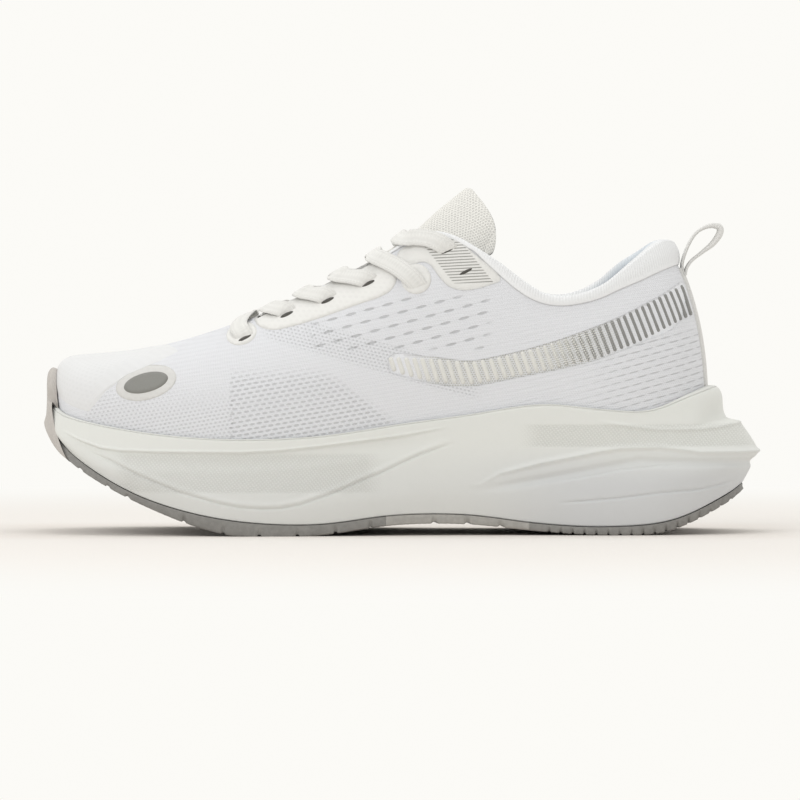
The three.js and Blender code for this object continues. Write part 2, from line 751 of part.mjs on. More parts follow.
const COUNTER_COLUMNS = 11;
const counterLevels = [1, 2, 3, 4, 4.6];
const counter = patchSolid(-COUNTER_COLUMNS, COUNTER_COLUMNS, (t) =>
  sheetSection(t, counterLevels, insideUpper, insideUpper - COUNTER_THICKNESS),
);
add(shoe, "heel_counter", counter, 0xbfb8a8);

const COLLAR_COLUMNS = 14;
const paddingLevels = [4.9, 5.4, 6, 6.7];
const padding = patchSolid(-COLLAR_COLUMNS, COLLAR_COLUMNS, (t) =>
  sheetSection(t, paddingLevels, insideUpper, insideUpper - PADDING_THICKNESS),
);
add(shoe, "collar_padding", padding, 0xe9e6da);

// The lining covers the counter and the padding and folds over the collar's edge.
const liningLow = insideUpper - COUNTER_THICKNESS - GAP;
const liningHigh = insideUpper - PADDING_THICKNESS - GAP;
function liningSection(t) {
  const outer = [];
  const inner = [];
  for (const level of [2.5, 3, 4, 4.7]) {
    outer.push(upperPoint(t, level, liningLow));
    inner.push(upperPoint(t, level, liningLow - LINING_THICKNESS));
  }
  for (const level of [4.8, 5.4, 6, 6.8]) {
    outer.push(upperPoint(t, level, liningHigh));
    inner.push(upperPoint(t, level, liningHigh - LINING_THICKNESS));
  }
  const rise = upperPoint(t, TOP, 0).sub(upperPoint(t, TOP - 0.3, 0)).normalize();
  const over = (offset, height) => upperPoint(t, TOP, offset).addScaledVector(rise, height);
  outer.push(over(-UPPER_THICKNESS - PADDING_THICKNESS * 0.5, GAP), over(-0.2, GAP));
  inner.push(over(-UPPER_THICKNESS - PADDING_THICKNESS * 0.5, GAP + LINING_THICKNESS));
  inner.push(over(-0.2, GAP + LINING_THICKNESS));
  return [...outer, ...inner.reverse()];
}
add(shoe, "collar_lining", patchSolid(-COLLAR_COLUMNS, COLLAR_COLUMNS, liningSection), 0xdfe6ee);

// ---- overlays welded onto the knit
const EYESTAY = [
  [-61, 90.6],
  [-57.5, 86.5],
  [-53.3, 85.6],
  [-45.8, 86.9],
  [-33.3, 90.6],
  [-16.7, 96.5],
  [-8.3, 99.4],
  [-3.5, 102.5],
  [-1.3, 107.3],
  [-3, 116],
  [-14, 122],
  [-58, 104],
];
const LOCK_PANEL = [
  [-1.7, 118.1],
  [1, 132],
  [14, 134],
  [25, 128],
  [29.2, 120.6],
  [37.5, 111.5],
  [42.1, 106.5],
  [35.4, 104.4],
  [26.3, 102.1],
  [20, 104.4],
  [16.7, 107.3],
  [10.5, 114],
];
const SIDE_BAND = [
  [119.6, 104.8],
  [100, 94.4],
  [75, 84],
  [41.7, 74.4],
  [29.2, 72.3],
  [-4.2, 74.4],
  [0, 66],
  [29.2, 62.7],
  [50, 66.5],
  [83.3, 74],
  [108.3, 84.4],
  [120.6, 90.5],
];
const TOE_FILM = [
  [-160, 46],
  [-137, 48],
  [-133, 58],
  [-124, 66],
  [-112, 70],
  [-92, 73],
  [-92, 90],
  [-160, 90],
];
for (const side of [LATERAL, MEDIAL]) {
  const name = sideName(side);
  const film = 0xefe9da;
  const tab = ellipse(-66.3, 84, 6.5, 4.6, 0.3);
  const tabSpace = toSolid(sidePrism(ellipse(-66.3, 84, 6.5 + GAP, 4.6 + GAP, 0.3), side));
  const cut = (outline) => mainBody(overlay(outline, side).subtract(laceSpace));
  add(shoe, "eyestay_" + name, toGeometry(mainBody(cut(polygon(EYESTAY)).subtract(tabSpace))), film);
  add(shoe, "front_eyelet_tab_" + name, toGeometry(cut(tab)), film);
  add(shoe, "middle_eyelet_tab_" + name, toGeometry(cut(ellipse(6.7, 106.9, 6.3, 6.3))), film);
  const lockHole = toSolid(sidePrism(ellipse(27.5, 109.8, 2.6, 1.2, 0.4), side));
  add(shoe, "heel_lock_panel_" + name, toGeometry(cut(polygon(LOCK_PANEL)).subtract(lockHole)), film);
  add(shoe, "side_band_" + name, toGeometry(overlay(polygon(SIDE_BAND), side)), 0x9b9b98);
}

const toeFilm = filmLayer.intersect(toSolid(sidePrism(polygon(TOE_FILM), LATERAL).translate(0, CUTTER_REACH / 2, 0)));
add(shoe, "toe_cap_film", toGeometry(mainBody(toeFilm)), 0xe9e2d0);

// A plain reflective pill on the outer side of the toe.
const patchLayer = layerOver(GAP + PATCH_THICKNESS);
const toePatch = patchLayer.intersect(toSolid(sidePrism(ellipse(-106, 63.5, 9.5, 4, 0.25), LATERAL)));
add(shoe, "toe_patch", toGeometry(toePatch), 0x8f908e, 0.5);

// ---- heel strip and pull loop
const stripWidth = BACKSTAY_WIDTH / 2;
const STRIP_LEVELS = [2.2, 3, 4, 5, 5.6];
function backstay() {
  const sections = [-1, -0.4, 0.4, 1].map((across) => {
    const out = STRIP_LEVELS.map((level) => upperPoint(HEEL_T, level, GAP * 2 + BACKSTAY_THICKNESS));
    const under = STRIP_LEVELS.map((level) => upperPoint(HEEL_T, level, GAP * 2)).reverse();
    return [...out, ...under].map((p) => new THREE.Vector3(p.x, -across * stripWidth, p.z));
  });
  return loftSheet(sections);
}
add(shoe, "backstay", backstay(), 0xece6d8);

// The loop of webbing turns about a line across the heel at its base.
const LOOP_BASE = place(119.6, 0, 110.5);
const loopGroup = new THREE.Group();
loopGroup.name = "pull_loop_joint";
loopGroup.position.copy(LOOP_BASE);
shoe.add(loopGroup);

function loopPrism(points, depth) {
  const curve = new THREE.SplineCurve([...points, points[0]].map(([x, z]) => new THREE.Vector2(x, z)));
  const outline = new THREE.Shape(curve.getPoints(points.length * 3).slice(0, -1));
  const solid = new THREE.ExtrudeGeometry(outline, { depth, bevelEnabled: false });
  return toSolid(solid.translate(0, 0, -depth / 2).rotateX(Math.PI / 2));
}

const LOOP_OUTLINE = [
  [0, -1.2],
  [-1.5, 2],
  [0, 9.5],
  [5.2, 16.8],
  [11.8, 19.4],
  [15.4, 17.4],
  [13, 12.4],
  [5.4, 6],
  [1.5, 1],
];
const LOOP_HOLE = [
  [0.9, 4.4],
  [2, 9],
  [6.5, 14.8],
  [11.6, 17.1],
  [12.8, 16.2],
  [10.4, 12.8],
  [4.4, 8],
];

function pullLoop() {
  return toGeometry(loopPrism(LOOP_OUTLINE, LOOP_WIDTH).subtract(loopPrism(LOOP_HOLE, LOOP_WIDTH * 2)));
}
add(loopGroup, "pull_loop", pullLoop(), 0xece6d8);

// ---- tongue: the part under the lace, and the free end above the last crossing
const TONGUE_SIDES = [-1, -0.75, -0.45, -0.15, 0.15, 0.45, 0.75, 1];
const FLAP_BACK = THREE.MathUtils.degToRad(20);

function tongueSection(share, lean = 0) {
  const along = tongueSpine.getTangentAt(share);
  const leaned = (side, depth) => {
    const point = tonguePoint(share, side, depth);
    const below = point.clone().sub(tongueSpine.getPointAt(share));
    const inwardReach = below.x * along.z - below.z * along.x;
    return point.addScaledVector(along, inwardReach * Math.tan(lean));
  };
  const outer = TONGUE_SIDES.map((side) => leaned(side, 0));
  const inner = TONGUE_SIDES.map((side) => leaned(side, TONGUE_THICKNESS)).reverse();
  return [...outer, ...inner].reverse();
}

const BODY_SHARES = [0, 0.12, 0.24, 0.36, 0.48, 0.6, 0.69, HINGE_SHARE - 0.003];
const FLAP_SHARES = [0.84, 0.88, 0.93, 0.97, 1];
const tongueBody = toSolid(loftSheet(BODY_SHARES.map((share) => tongueSection(share))));
add(shoe, "tongue_body", toGeometry(mainBody(tongueBody.subtract(laceSpace))), 0xece8df);

const flapGroup = new THREE.Group();
flapGroup.name = "tongue_flap_joint";
flapGroup.position.copy(tongueSpine.getPointAt(HINGE_SHARE));
shoe.add(flapGroup);
const flapSections = [tongueSection(HINGE_SHARE + 0.002, FLAP_BACK), ...FLAP_SHARES.map((s) => tongueSection(s))];
const flap = loftSheet(flapSections);
flap.translate(-flapGroup.position.x, -flapGroup.position.y, -flapGroup.position.z);
add(flapGroup, "tongue_flap", flap, 0xece8df);

// ---- aglets on the tucked ends
for (const side of [LATERAL, MEDIAL]) {
  const [before, end] = tuckedPoints(side).slice(-2).map(({ at }) => at);
  const along = end.clone().sub(before).normalize();
  const barrel = new THREE.CylinderGeometry(AGLET_RADIUS, AGLET_RADIUS, AGLET_LENGTH, 8);
  barrel.applyQuaternion(new THREE.Quaternion().setFromUnitVectors(new THREE.Vector3(0, 1, 0), along));
  const centre = end.clone().addScaledVector(along, GAP + AGLET_LENGTH / 2);
  barrel.translate(centre.x, centre.y, centre.z);
  add(shoe, "aglet_" + sideName(side), barrel, 0xe8e6e0, 0.4);
}

export default shoe;
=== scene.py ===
"""Looks of the running shoe: fine surfaces, cloth, film and rubber over the CAD frame."""
import math

import bmesh
import bpy
import numpy as np
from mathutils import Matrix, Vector
from mathutils.bvhtree import BVHTree
from mathutils.geometry import delaunay_2d_cdt


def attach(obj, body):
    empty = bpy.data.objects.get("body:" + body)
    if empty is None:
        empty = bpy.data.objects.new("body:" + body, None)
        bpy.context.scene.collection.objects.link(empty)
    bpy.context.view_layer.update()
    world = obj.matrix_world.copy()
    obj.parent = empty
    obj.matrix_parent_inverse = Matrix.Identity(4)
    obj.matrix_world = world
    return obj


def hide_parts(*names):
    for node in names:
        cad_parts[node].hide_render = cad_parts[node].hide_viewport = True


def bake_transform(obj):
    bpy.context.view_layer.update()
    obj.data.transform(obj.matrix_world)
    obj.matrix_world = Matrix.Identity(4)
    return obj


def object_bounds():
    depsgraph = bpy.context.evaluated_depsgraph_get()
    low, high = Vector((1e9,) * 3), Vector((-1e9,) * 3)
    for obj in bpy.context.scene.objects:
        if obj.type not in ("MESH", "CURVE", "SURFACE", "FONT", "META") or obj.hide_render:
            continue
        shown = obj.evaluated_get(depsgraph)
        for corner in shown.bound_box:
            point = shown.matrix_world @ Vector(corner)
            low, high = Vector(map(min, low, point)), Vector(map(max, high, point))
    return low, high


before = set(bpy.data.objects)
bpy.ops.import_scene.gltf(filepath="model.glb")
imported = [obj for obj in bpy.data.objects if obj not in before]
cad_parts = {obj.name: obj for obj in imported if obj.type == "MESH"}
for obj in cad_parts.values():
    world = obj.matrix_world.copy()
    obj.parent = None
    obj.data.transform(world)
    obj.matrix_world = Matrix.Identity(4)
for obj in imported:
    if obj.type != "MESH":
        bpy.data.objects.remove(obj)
bounds_at_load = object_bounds()

MM = 0.001
LATERAL, MEDIAL = -1, 1
SIDE_NAMES = {LATERAL: "lateral", MEDIAL: "medial"}

# ---------------------------------------------------------------- camera, lights and world
SHOE_LOW = Vector(bounds_at_load[0])
CAMERA_DISTANCE = 3.0
CAMERA_ELEVATION = math.radians(1.2)
SENSOR_WIDTH = 36
FARTHEST_SEEN = 20
VIEW_WIDTH = 0.3333
VIEW_CENTRE_HEIGHT = 0.0565
NEAR_SIDE = SHOE_LOW.y * 0.8
STUDIO_COLOR = (1.0, 0.99, 0.955, 1)
BACKDROP_LIGHT = 0.972
FRONT_LIGHT = 0.735
LIGHTS_AIM = Vector((0, 0, 0.05))
# Each light has a name, a place, a size and a power.
LIGHTS = [
    ("key", (-0.9, -1.2, 1.3), 1.0, 7.0),
    ("fill", (0.9, -1.4, 0.9), 1.2, 0.4),
    ("top", (0.0, 0.1, 1.6), 0.9, 4.5),
]


def make_camera():
    data = bpy.data.cameras.new("camera")
    data.sensor_width = SENSOR_WIDTH
    data.lens = SENSOR_WIDTH * CAMERA_DISTANCE / VIEW_WIDTH
    data.clip_end = FARTHEST_SEEN
    camera = bpy.data.objects.new("camera", data)
    back = Vector((0, -math.cos(CAMERA_ELEVATION), math.sin(CAMERA_ELEVATION)))
    camera.location = Vector((0, NEAR_SIDE, VIEW_CENTRE_HEIGHT)) + back * CAMERA_DISTANCE
    camera.rotation_euler = (-back).to_track_quat("-Z", "Y").to_euler()
    bpy.context.scene.collection.objects.link(camera)
    bpy.context.scene.camera = camera


def area_light(name, place, size, power):
    data = bpy.data.lights.new(name, "AREA")
    data.size = size
    data.energy = power
    light = bpy.data.objects.new(name, data)
    light.location = place
    light.rotation_euler = (LIGHTS_AIM - Vector(place)).to_track_quat("-Z", "Y").to_euler()
    bpy.context.scene.collection.objects.link(light)


def make_world():
    """A pale studio, brighter behind the shoe than in front of it."""
    world = bpy.data.worlds.new("studio")
    world.use_nodes = True
    tree = world.node_tree
    background = tree.nodes["Background"]
    background.inputs["Color"].default_value = STUDIO_COLOR
    direction = tree.nodes.new("ShaderNodeTexCoord").outputs["Generated"]
    parts = tree.nodes.new("ShaderNodeSeparateXYZ")
    tree.links.new(direction, parts.inputs[0])
    behind = tree.nodes.new("ShaderNodeMapRange")
    behind.interpolation_type = "SMOOTHSTEP"
    limits = {"From Min": -0.3, "From Max": 0.5, "To Min": FRONT_LIGHT, "To Max": BACKDROP_LIGHT}
    for socket, value in limits.items():
        behind.inputs[socket].default_value = value
    tree.links.new(parts.outputs["Y"], behind.inputs["Value"])
    tree.links.new(behind.outputs["Result"], background.inputs["Strength"])
    bpy.context.scene.world = world
    bpy.context.scene.view_settings.view_transform = "Standard"


make_camera()
make_world()
for light in LIGHTS:
    area_light(*light)

# ---------------------------------------------------------------- rails
# The shoe's guide curves are those of the CAD, a little fuller at the toe and the heel. Rows run from
# the heel to the toe as (x, y lateral, y medial, z) in millimetres.
FEATHER_ROWS = [
    (128.2, 0, 0, 36),
    (119, -23, 22, 36),
    (103, -34, 32, 36),
    (82, -38.5, 34.5, 36.5),
    (58, -39, 32, 37),
    (28, -39, 31.5, 37),
    (0, -42.5, 35, 35.5),
    (-36, -48, 44, 31.5),
    (-75, -49, 48, 29.5),
    (-108, -41, 43.5, 31),
    (-136, -25, 32, 37.5),
    (-144.5, 7, 7, 47.5),
]
WALL_ROWS = [
    (131.3, 0, 0, 69),
    (121.7, -25.7, 24.7, 68.5),
    (104, -36.5, 34, 66),
    (83, -40.5, 37, 62),
    (60, -41.5, 35.5, 62),
    (29, -42, 35.5, 66),
    (1, -45.5, 38.5, 66),
    (-34, -51, 47, 62),
    (-72, -52.5, 51.5, 60),
    (-107, -46, 48, 66),
    (-139, -31, 37, 80),
    (-148.7, 7, 7, 92),
]
CROWN_ROWS = [
    (126.5, 0, 0, 97.2),
    (118, -23, 22, 98),
    (101, -33.5, 31, 92),
    (82.5, -37.5, 34, 86),
    (61, -38.5, 34, 86),
    (34, -39.5, 34, 96),
    (6, -41, 36, 100),
    (-24, -43, 40, 90),
    (-57, -43, 43, 79),
    (-93, -38, 41, 72),
    (-129.5, -22, 30, 66),
    (-142.5, 7, 7, 61.5),
]
OPENING_ROWS = [
    (113.5, 0, 0, 120.5),
    (109, -15, 14, 121.5),
    (97, -26, 24.5, 112.5),
    (82, -32, 30, 101.5),
    (62, -34, 32, 98.5),
    (40, -34, 32, 114),
    (14, -29, 28, 126.5),
    (-13, -25, 25.5, 113),
    (-42, -22.5, 24, 99.5),
    (-62, -18.5, 20.5, 90.5),
    (-70.5, -9, 13, 87.5),
    (-73, 2, 2, 87),
]
BITE_HEIGHTS = [61.5, 58, 51.5, 52.4, 54.4, 50, 46.2, 41, 39.9, 42.6, 48.3, 53.5]
FOAM_BULGE_ROWS = [
    (151.2, 0, 0, 35.6),
    (139, -29, 28, 33),
    (113, -43.5, 42.5, 27),
    (86, -45.5, 43.5, 25),
    (58, -44.5, 40.5, 26),
    (28, -44.5, 39.5, 27),
    (-2, -48, 44, 25),
    (-36, -54, 52.5, 21),
    (-75, -55.45, 56, 21.5),
    (-110, -48, 51, 28),
    (-139.5, -31, 37, 39.5),
    (-148.7, 7, 7, 50.5),
]
FOAM_EDGE_ROWS = [
    (145.5, 0, 0, 22),
    (136, -27, 26.5, 16),
    (113, -41, 40, 6),
    (86, -43.5, 42, 3.6),
    (58, -42, 38, 4.9),
    (28, -42.5, 37, 8.6),
    (-2, -46.5, 42, 8.6),
    (-36, -53, 51, 4.7),
    (-75, -55, 54.5, 7.2),
    (-110, -46.5, 49.5, 17),
    (-138, -30, 36, 34),
    (-147.7, 7, 7, 47.5),
]
TREAD_EDGE_ROWS = [
    (146.5, 0, 0, 20),
    (136.5, -27.3, 26.8, 12.6),
    (111, -41.2, 40.2, 1.2),
    (86, -43.8, 42.3, 0),
    (58, -42.3, 38.3, 1.6),
    (28, -42.8, 37.3, 4.6),
    (-2, -46.8, 42.3, 4.4),
    (-36, -53.3, 51.3, 0),
    (-70, -55.4, 54.9, 0),
    (-109, -47, 50, 13.4),
    (-138.5, -31.5, 37.5, 30.4),
    (-149.8, 7, 7, 46),
]


def closed_points(rows):
    """The closed loop of a rail's rows: heel, lateral side, toe, medial side."""
    inner = rows[1:-1]
    heel = [(rows[0][0], rows[0][1], rows[0][3])]
    toe = [(rows[-1][0], rows[-1][1], rows[-1][3])]
    lateral = [(x, y, z) for x, y, _, z in inner]
    medial = [(x, y, z) for x, _, y, z in reversed(inner)]
    return np.array(heel + lateral + toe + medial, float)


def spline(points, t, closed):
    """A centripetal Catmull-Rom spline through points, at each t from 0 to 1."""
    count = len(points)
    spans = count if closed else count - 1
    place = np.asarray(t, float) * spans
    if closed:
        place = place % count
    index = np.clip(np.floor(place).astype(int), 0, spans - 1)
    weight = (place - index)[..., None]
    if closed:
        p0, p1, p2, p3 = (points[(index + k) % count] for k in (-1, 0, 1, 2))
    else:
        longer = np.vstack([2 * points[0] - points[1], points, 2 * points[-1] - points[-2]])
        p0, p1, p2, p3 = (longer[index + k] for k in range(4))

    def knot(a, b):
        return np.maximum(np.linalg.norm(b - a, axis=-1, keepdims=True) ** 0.5, 1e-4)

    d0, d1, d2 = knot(p0, p1), knot(p1, p2), knot(p2, p3)
    start = ((p1 - p0) / d0 - (p2 - p0) / (d0 + d1) + (p2 - p1) / d1) * d1
    end = ((p2 - p1) / d1 - (p3 - p1) / (d1 + d2) + (p3 - p2) / d2) * d1
    square, cube = weight**2, weight**3
    return (
        p1
        + start * weight
        + (-3 * p1 + 3 * p2 - 2 * start - end) * square
        + (2 * p1 - 2 * p2 + start + end) * cube
    )


def smooth_rail(rows):
    """A rail as a function of t, read from fine samples that a short blur has made even."""
    samples, reach = 2200, 15
    t = np.arange(samples) / samples
    fine = spline(closed_points(rows), t, True)
    offsets = np.arange(-3 * reach, 3 * reach + 1)
    kernel = np.exp(-0.5 * (offsets / reach) ** 2)
    kernel /= kernel.sum()
    wide = np.vstack([fine[-3 * reach :], fine, fine[: 3 * reach]])
    even = np.stack([np.convolve(wide[:, k], kernel, "valid") for k in range(3)], -1)

    def at(t):
        place = (np.asarray(t, float) % 1) * samples
        index = np.floor(place).astype(int)
        share = (place - index)[..., None]
        return even[index % samples] * (1 - share) + even[(index + 1) % samples] * share

    return at


FEATHER = smooth_rail(FEATHER_ROWS)
WALL = smooth_rail(WALL_ROWS)
CROWN = smooth_rail(CROWN_ROWS)
OPENING = smooth_rail(OPENING_ROWS)
FOAM_BULGE = smooth_rail(FOAM_BULGE_ROWS)
FOAM_EDGE = smooth_rail(FOAM_EDGE_ROWS)
TREAD_EDGE = smooth_rail(TREAD_EDGE_ROWS)
BITE = smooth_rail([(x, yl, ym, z) for (x, yl, ym, _), z in zip(WALL_ROWS, BITE_HEIGHTS)])

# Levels run up the upper from 0 at its foot. The bite line is where it leaves the midsole's cup.
BITE_LEVEL, TOP = 2, 7
# Rails run round the shoe from t = 0 at the heel along the lateral side to the toe and back.
TOE = 0.5
HIGHEST_BITE = 0.7


def rib(t, v):
    """The curve up the upper at each t, from the feather line at v = 0 to the opening at v = 1."""
    v = np.asarray(v, float)[..., None]
    u = 1 - v
    return (
        FEATHER(t) * u**3
        + WALL(t) * 3 * u**2 * v
        + CROWN(t) * 3 * u * v**2
        + OPENING(t) * v**3
    )


def bite_share(t):
    """The v at which each rib reaches the height of the bite line."""
    height = BITE(t)[..., 2]
    low, high = np.zeros_like(height), np.full_like(height, HIGHEST_BITE)
    for _ in range(20):
        middle = (low + high) / 2
        below = rib(t, middle)[..., 2] < height
        low = np.where(below, middle, low)
        high = np.where(below, high, middle)
    return low


def upper_point(t, level, offset):
    """Points on the upper's outer face in millimetres, moved out by an offset."""
    t, level, offset = np.broadcast_arrays(*(np.asarray(a, float) for a in (t, level, offset)))
    bite = bite_share(t)
    above = (level - BITE_LEVEL) / (TOP - BITE_LEVEL)
    v = np.where(level < BITE_LEVEL, bite * level / BITE_LEVEL, bite + (1 - bite) * above)
    step = 2e-3
    around = rib(t + step, v) - rib(t - step, v)
    upward = rib(t, v + step) - rib(t, v - step)
    normal = np.cross(upward, around)
    normal /= np.linalg.norm(normal, axis=-1, keepdims=True)
    return rib(t, v) + normal * offset[..., None]


# ---------------------------------------------------------------- meshes from grids of points
def mesh_object(name, vertices, faces, uv):
    """A smooth-shaded object from points in millimetres, with texture coordinates for each point."""
    mesh = bpy.data.meshes.new(name)
    mesh.from_pydata([tuple(v) for v in np.asarray(vertices) * MM], [], [tuple(f) for f in faces])
    layer = mesh.uv_layers.new(name="UVMap")
    corner_vertices = np.empty(len(mesh.loops), int)
    mesh.loops.foreach_get("vertex_index", corner_vertices)
    layer.data.foreach_set("uv", np.asarray(uv, float)[corner_vertices].ravel())
    mesh.validate()
    mesh.polygons.foreach_set("use_smooth", [True] * len(mesh.polygons))
    mesh.update()
    made = bpy.data.objects.new(name, mesh)
    bpy.context.scene.collection.objects.link(made)
    return made


def grid_faces(rows, columns, closed_columns=False, closed_rows=False, flip=False):
    """Quads between neighbouring rows and columns of a grid whose points run row by row."""
    i = np.arange(rows if closed_rows else rows - 1)
    j = np.arange(columns if closed_columns else columns - 1)
    a, b = np.meshgrid(i, j, indexing="ij")
    down, right = (a + 1) % rows, (b + 1) % columns
    corners = ((a, b), (a, right), (down, right), (down, b))
    quads = np.stack([row * columns + column for row, column in corners], -1).reshape(-1, 4)
    return quads[:, ::-1] if flip else quads


def grid_object(name, points, uv, closed_columns=False, closed_rows=False, flip=False):
    rows, columns = points.shape[:2]
    faces = grid_faces(rows, columns, closed_columns, closed_rows, flip)
    return mesh_object(name, points.reshape(-1, 3), faces, uv.reshape(-1, 2))


def close_ends(made):
    """Fill the open ends of a tube-like mesh."""
    shape = bmesh.new()
    shape.from_mesh(made.data)
    open_edges = [edge for edge in shape.edges if edge.is_boundary]
    bmesh.ops.holes_fill(shape, edges=open_edges)
    shape.to_mesh(made.data)
    shape.free()
    return made


def running_length(points):
    """The length of a line of points up to each of them."""
    return np.concatenate([[0], np.cumsum(np.linalg.norm(np.diff(points, axis=0), axis=1))])


def points_at(places, known, points):
    """Points at new places along a line whose own points lie at known places."""
    return np.stack([np.interp(places, known, points[:, k]) for k in range(points.shape[1])], -1)


def flattened(value, power):
    """A sine or cosine that is pressed toward a box's sides by a power below 1."""
    return np.sign(value) * abs(value) ** power


def smoothstep(low, high, x):
    """Runs softly from 0 at low to 1 at high. Low may be the larger of the two."""
    share = np.clip((np.asarray(x, float) - low) / (high - low), 0, 1)
    return share * share * (3 - 2 * share)


def line_height(points, x):
    """The height at x of a line drawn through (x, z) points in the order of x."""
    xs, zs = zip(*points)
    return np.interp(x, xs, zs)


def shifted(line, rise):
    return [(x, z + rise) for x, z in line]


def ring_columns(count):
    return np.arange(count) / count


def across_from(ring):
    """The points of a ring in the order of its other side, so that each meets the one across the shoe."""
    count = len(ring)
    return ring[(-np.arange(count)) % count]


def outward(t):
    """The level direction away from the shoe, at the bite line."""
    across = upper_point(t, BITE_LEVEL, 1) - upper_point(t, BITE_LEVEL, 0)
    across[..., 2] = 0
    return across / np.linalg.norm(across, axis=-1, keepdims=True)


# ---------------------------------------------------------------- materials
class Shader:
    """A principled material with a few short helpers for procedural detail."""

    def __init__(self, name, color, roughness):
        self.material = bpy.data.materials.new(name)
        self.material.use_nodes = True
        self.tree = self.material.node_tree
        self.surface = self.tree.nodes["Principled BSDF"]
        self.surface.inputs["Base Color"].default_value = (*color, 1)
        self.surface.inputs["Roughness"].default_value = roughness
        self.position = self.node("ShaderNodeTexCoord").outputs["Object"]

    def node(self, kind, **settings):
        made = self.tree.nodes.new(kind)
        for key, value in settings.items():
            setattr(made, key, value)
        return made

    def link(self, source, target):
        self.tree.links.new(source, target)

    def plug(self, socket, value):
        """Gives a socket a fixed value or links another node's output to it."""
        if isinstance(value, (int, float, tuple)):
            socket.default_value = value
        else:
            self.link(value, socket)

    def math(self, operation, a, b=None):
        made = self.node("ShaderNodeMath", operation=operation)
        self.plug(made.inputs[0], a)
        if b is not None:
            self.plug(made.inputs[1], b)
        return made.outputs[0]

    def times(self, a, b):
        return self.math("MULTIPLY", a, b)

    def parts(self, vector):
        made = self.node("ShaderNodeSeparateXYZ")
        self.link(vector, made.inputs[0])
        return made.outputs

    def uv(self):
        return self.node("ShaderNodeTexCoord").outputs["UV"]

    def ramp(self, value, low, high):
        """Runs from 0 at low to 1 at high, with soft ends."""
        made = self.node("ShaderNodeMapRange", interpolation_type="SMOOTHSTEP")
        self.plug(made.inputs["Value"], value)
        made.inputs["From Min"].default_value = low
        made.inputs["From Max"].default_value = high
        return made.outputs["Result"]

    def window(self, value, low, high, soft):
        """1 between low and high, falling to 0 over a soft width outside them."""
        rising = self.ramp(value, low - soft, low)
        falling = self.ramp(value, high + soft, high)
        return self.times(rising, falling)

    def noise(self, scale, detail=3.0):
        made = self.node("ShaderNodeTexNoise")
        made.inputs["Scale"].default_value = scale
        made.inputs["Detail"].default_value = detail
        made.inputs["Roughness"].default_value = 0.55
        self.link(self.position, made.inputs["Vector"])
        return made.outputs["Fac"]

    def wave(self, coordinate, period, phase=0.0):
        """A cosine wave from 0 to 1 along a coordinate given in metres."""
        angle = self.math("ADD", self.times(coordinate, 2 * math.pi / period), phase)
        made = self.node("ShaderNodeMath", operation="MULTIPLY_ADD")
        for socket, value in zip(made.inputs, (self.math("COSINE", angle), 0.5, 0.5)):
            self.plug(socket, value)
        return made.outputs[0]

    def mix(self, factor, a, b):
        made = self.node("ShaderNodeMix", data_type="RGBA")
        self.plug(made.inputs["Factor"], factor)
        for socket, color in (("A", a), ("B", b)):
            self.plug(made.inputs[socket], (*color, 1) if isinstance(color, tuple) else color)
        return made.outputs["Result"]

    def color(self, value):
        self.link(value, self.surface.inputs["Base Color"])

    def bump(self, height, strength=0.5, distance=0.0003):
        made = self.node("ShaderNodeBump")
        made.inputs["Strength"].default_value = strength
        made.inputs["Distance"].default_value = distance
        self.link(height, made.inputs["Height"])
        previous = self.surface.inputs["Normal"]
        if previous.is_linked:
            self.link(previous.links[0].from_socket, made.inputs["Normal"])
        self.link(made.outputs["Normal"], previous)

    def holes(self, across, along, pitch, radius, shift=0.5):
        """Staggered rows of soft ellipses, 1 inside and 0 outside.

        Pitch and radius are pairs across and along the rows, in metres. Every second row is shifted by
        a share of the pitch.
        """
        row = self.math("DIVIDE", along, pitch[1])
        odd = self.times(self.math("MODULO", self.math("FLOOR", row), 2.0), shift)
        column = self.math("ADD", self.math("DIVIDE", across, pitch[0]), odd)
        squares = []
        for place, step, size in zip((column, row), pitch, radius):
            from_middle = self.math("SUBTRACT", self.math("FRACT", place), 0.5)
            reach = self.times(from_middle, step / size)
            squares.append(self.times(reach, reach))
        return self.ramp(self.math("ADD", *squares), 1.35, 0.55)

    def height(self, *weighted):
        """The sum of values, given as (weight, value) pairs."""
        total = 0.0
        for weight, value in weighted:
            total = self.math("ADD", total, self.times(value, weight))
        return total

    def turned(self, across, along, angle):
        """Two coordinates turned by an angle."""
        cosine, sine = math.cos(angle), math.sin(angle)
        return self.height((cosine, across), (sine, along)), self.height((-sine, across), (cosine, along))


KNIT_WHITE = (0.81, 0.82, 0.855)
FILM_CREAM = (0.83, 0.825, 0.805)
FOAM_WHITE = (0.775, 0.785, 0.755)
# Painted shade colour for the foam's lower wall.
FOAM_PAINTED_SHADE = (0.655, 0.67, 0.685)
COLLAR_WHITE = (0.91, 0.92, 0.935)
RUBBER_GRAY = (0.22, 0.215, 0.205)
BAND_GRAY = (0.27, 0.27, 0.262)
BAND_CREAM = (0.78, 0.775, 0.74)
BAND_SPECKLE = (0.50, 0.50, 0.47)
LACE_WHITE = (0.95, 0.945, 0.92)
LINING_BLUE = (0.74, 0.80, 0.86)
TONGUE_WHITE = (0.86, 0.85, 0.81)
SHADE = (0.30, 0.30, 0.31)
GROOVE_SHADE = (0.25, 0.245, 0.23)
FOAM_SHADE = (0.45, 0.45, 0.42)
SEAM_SHADE = (0.16, 0.16, 0.16)
KNIT_TURN, DASH_TURN = math.radians(10), math.radians(15)
DASH_PITCH, RIB_PITCH = 0.0046, 0.0026
OVALS_START = -0.070
HATCH_PITCH = 0.00115


def toe_holes(m, x, z):
    """Small holes over the toe box that fade toward its top."""
    across, along = m.turned(x, z, KNIT_TURN)
    holes = m.holes(across, along, (0.0019, 0.00155), (0.00055, 0.0004))
    field = m.times(m.window(x, -0.131, OVALS_START, 0.0015), m.ramp(z, 0.066, 0.050))
    return m.times(holes, field)


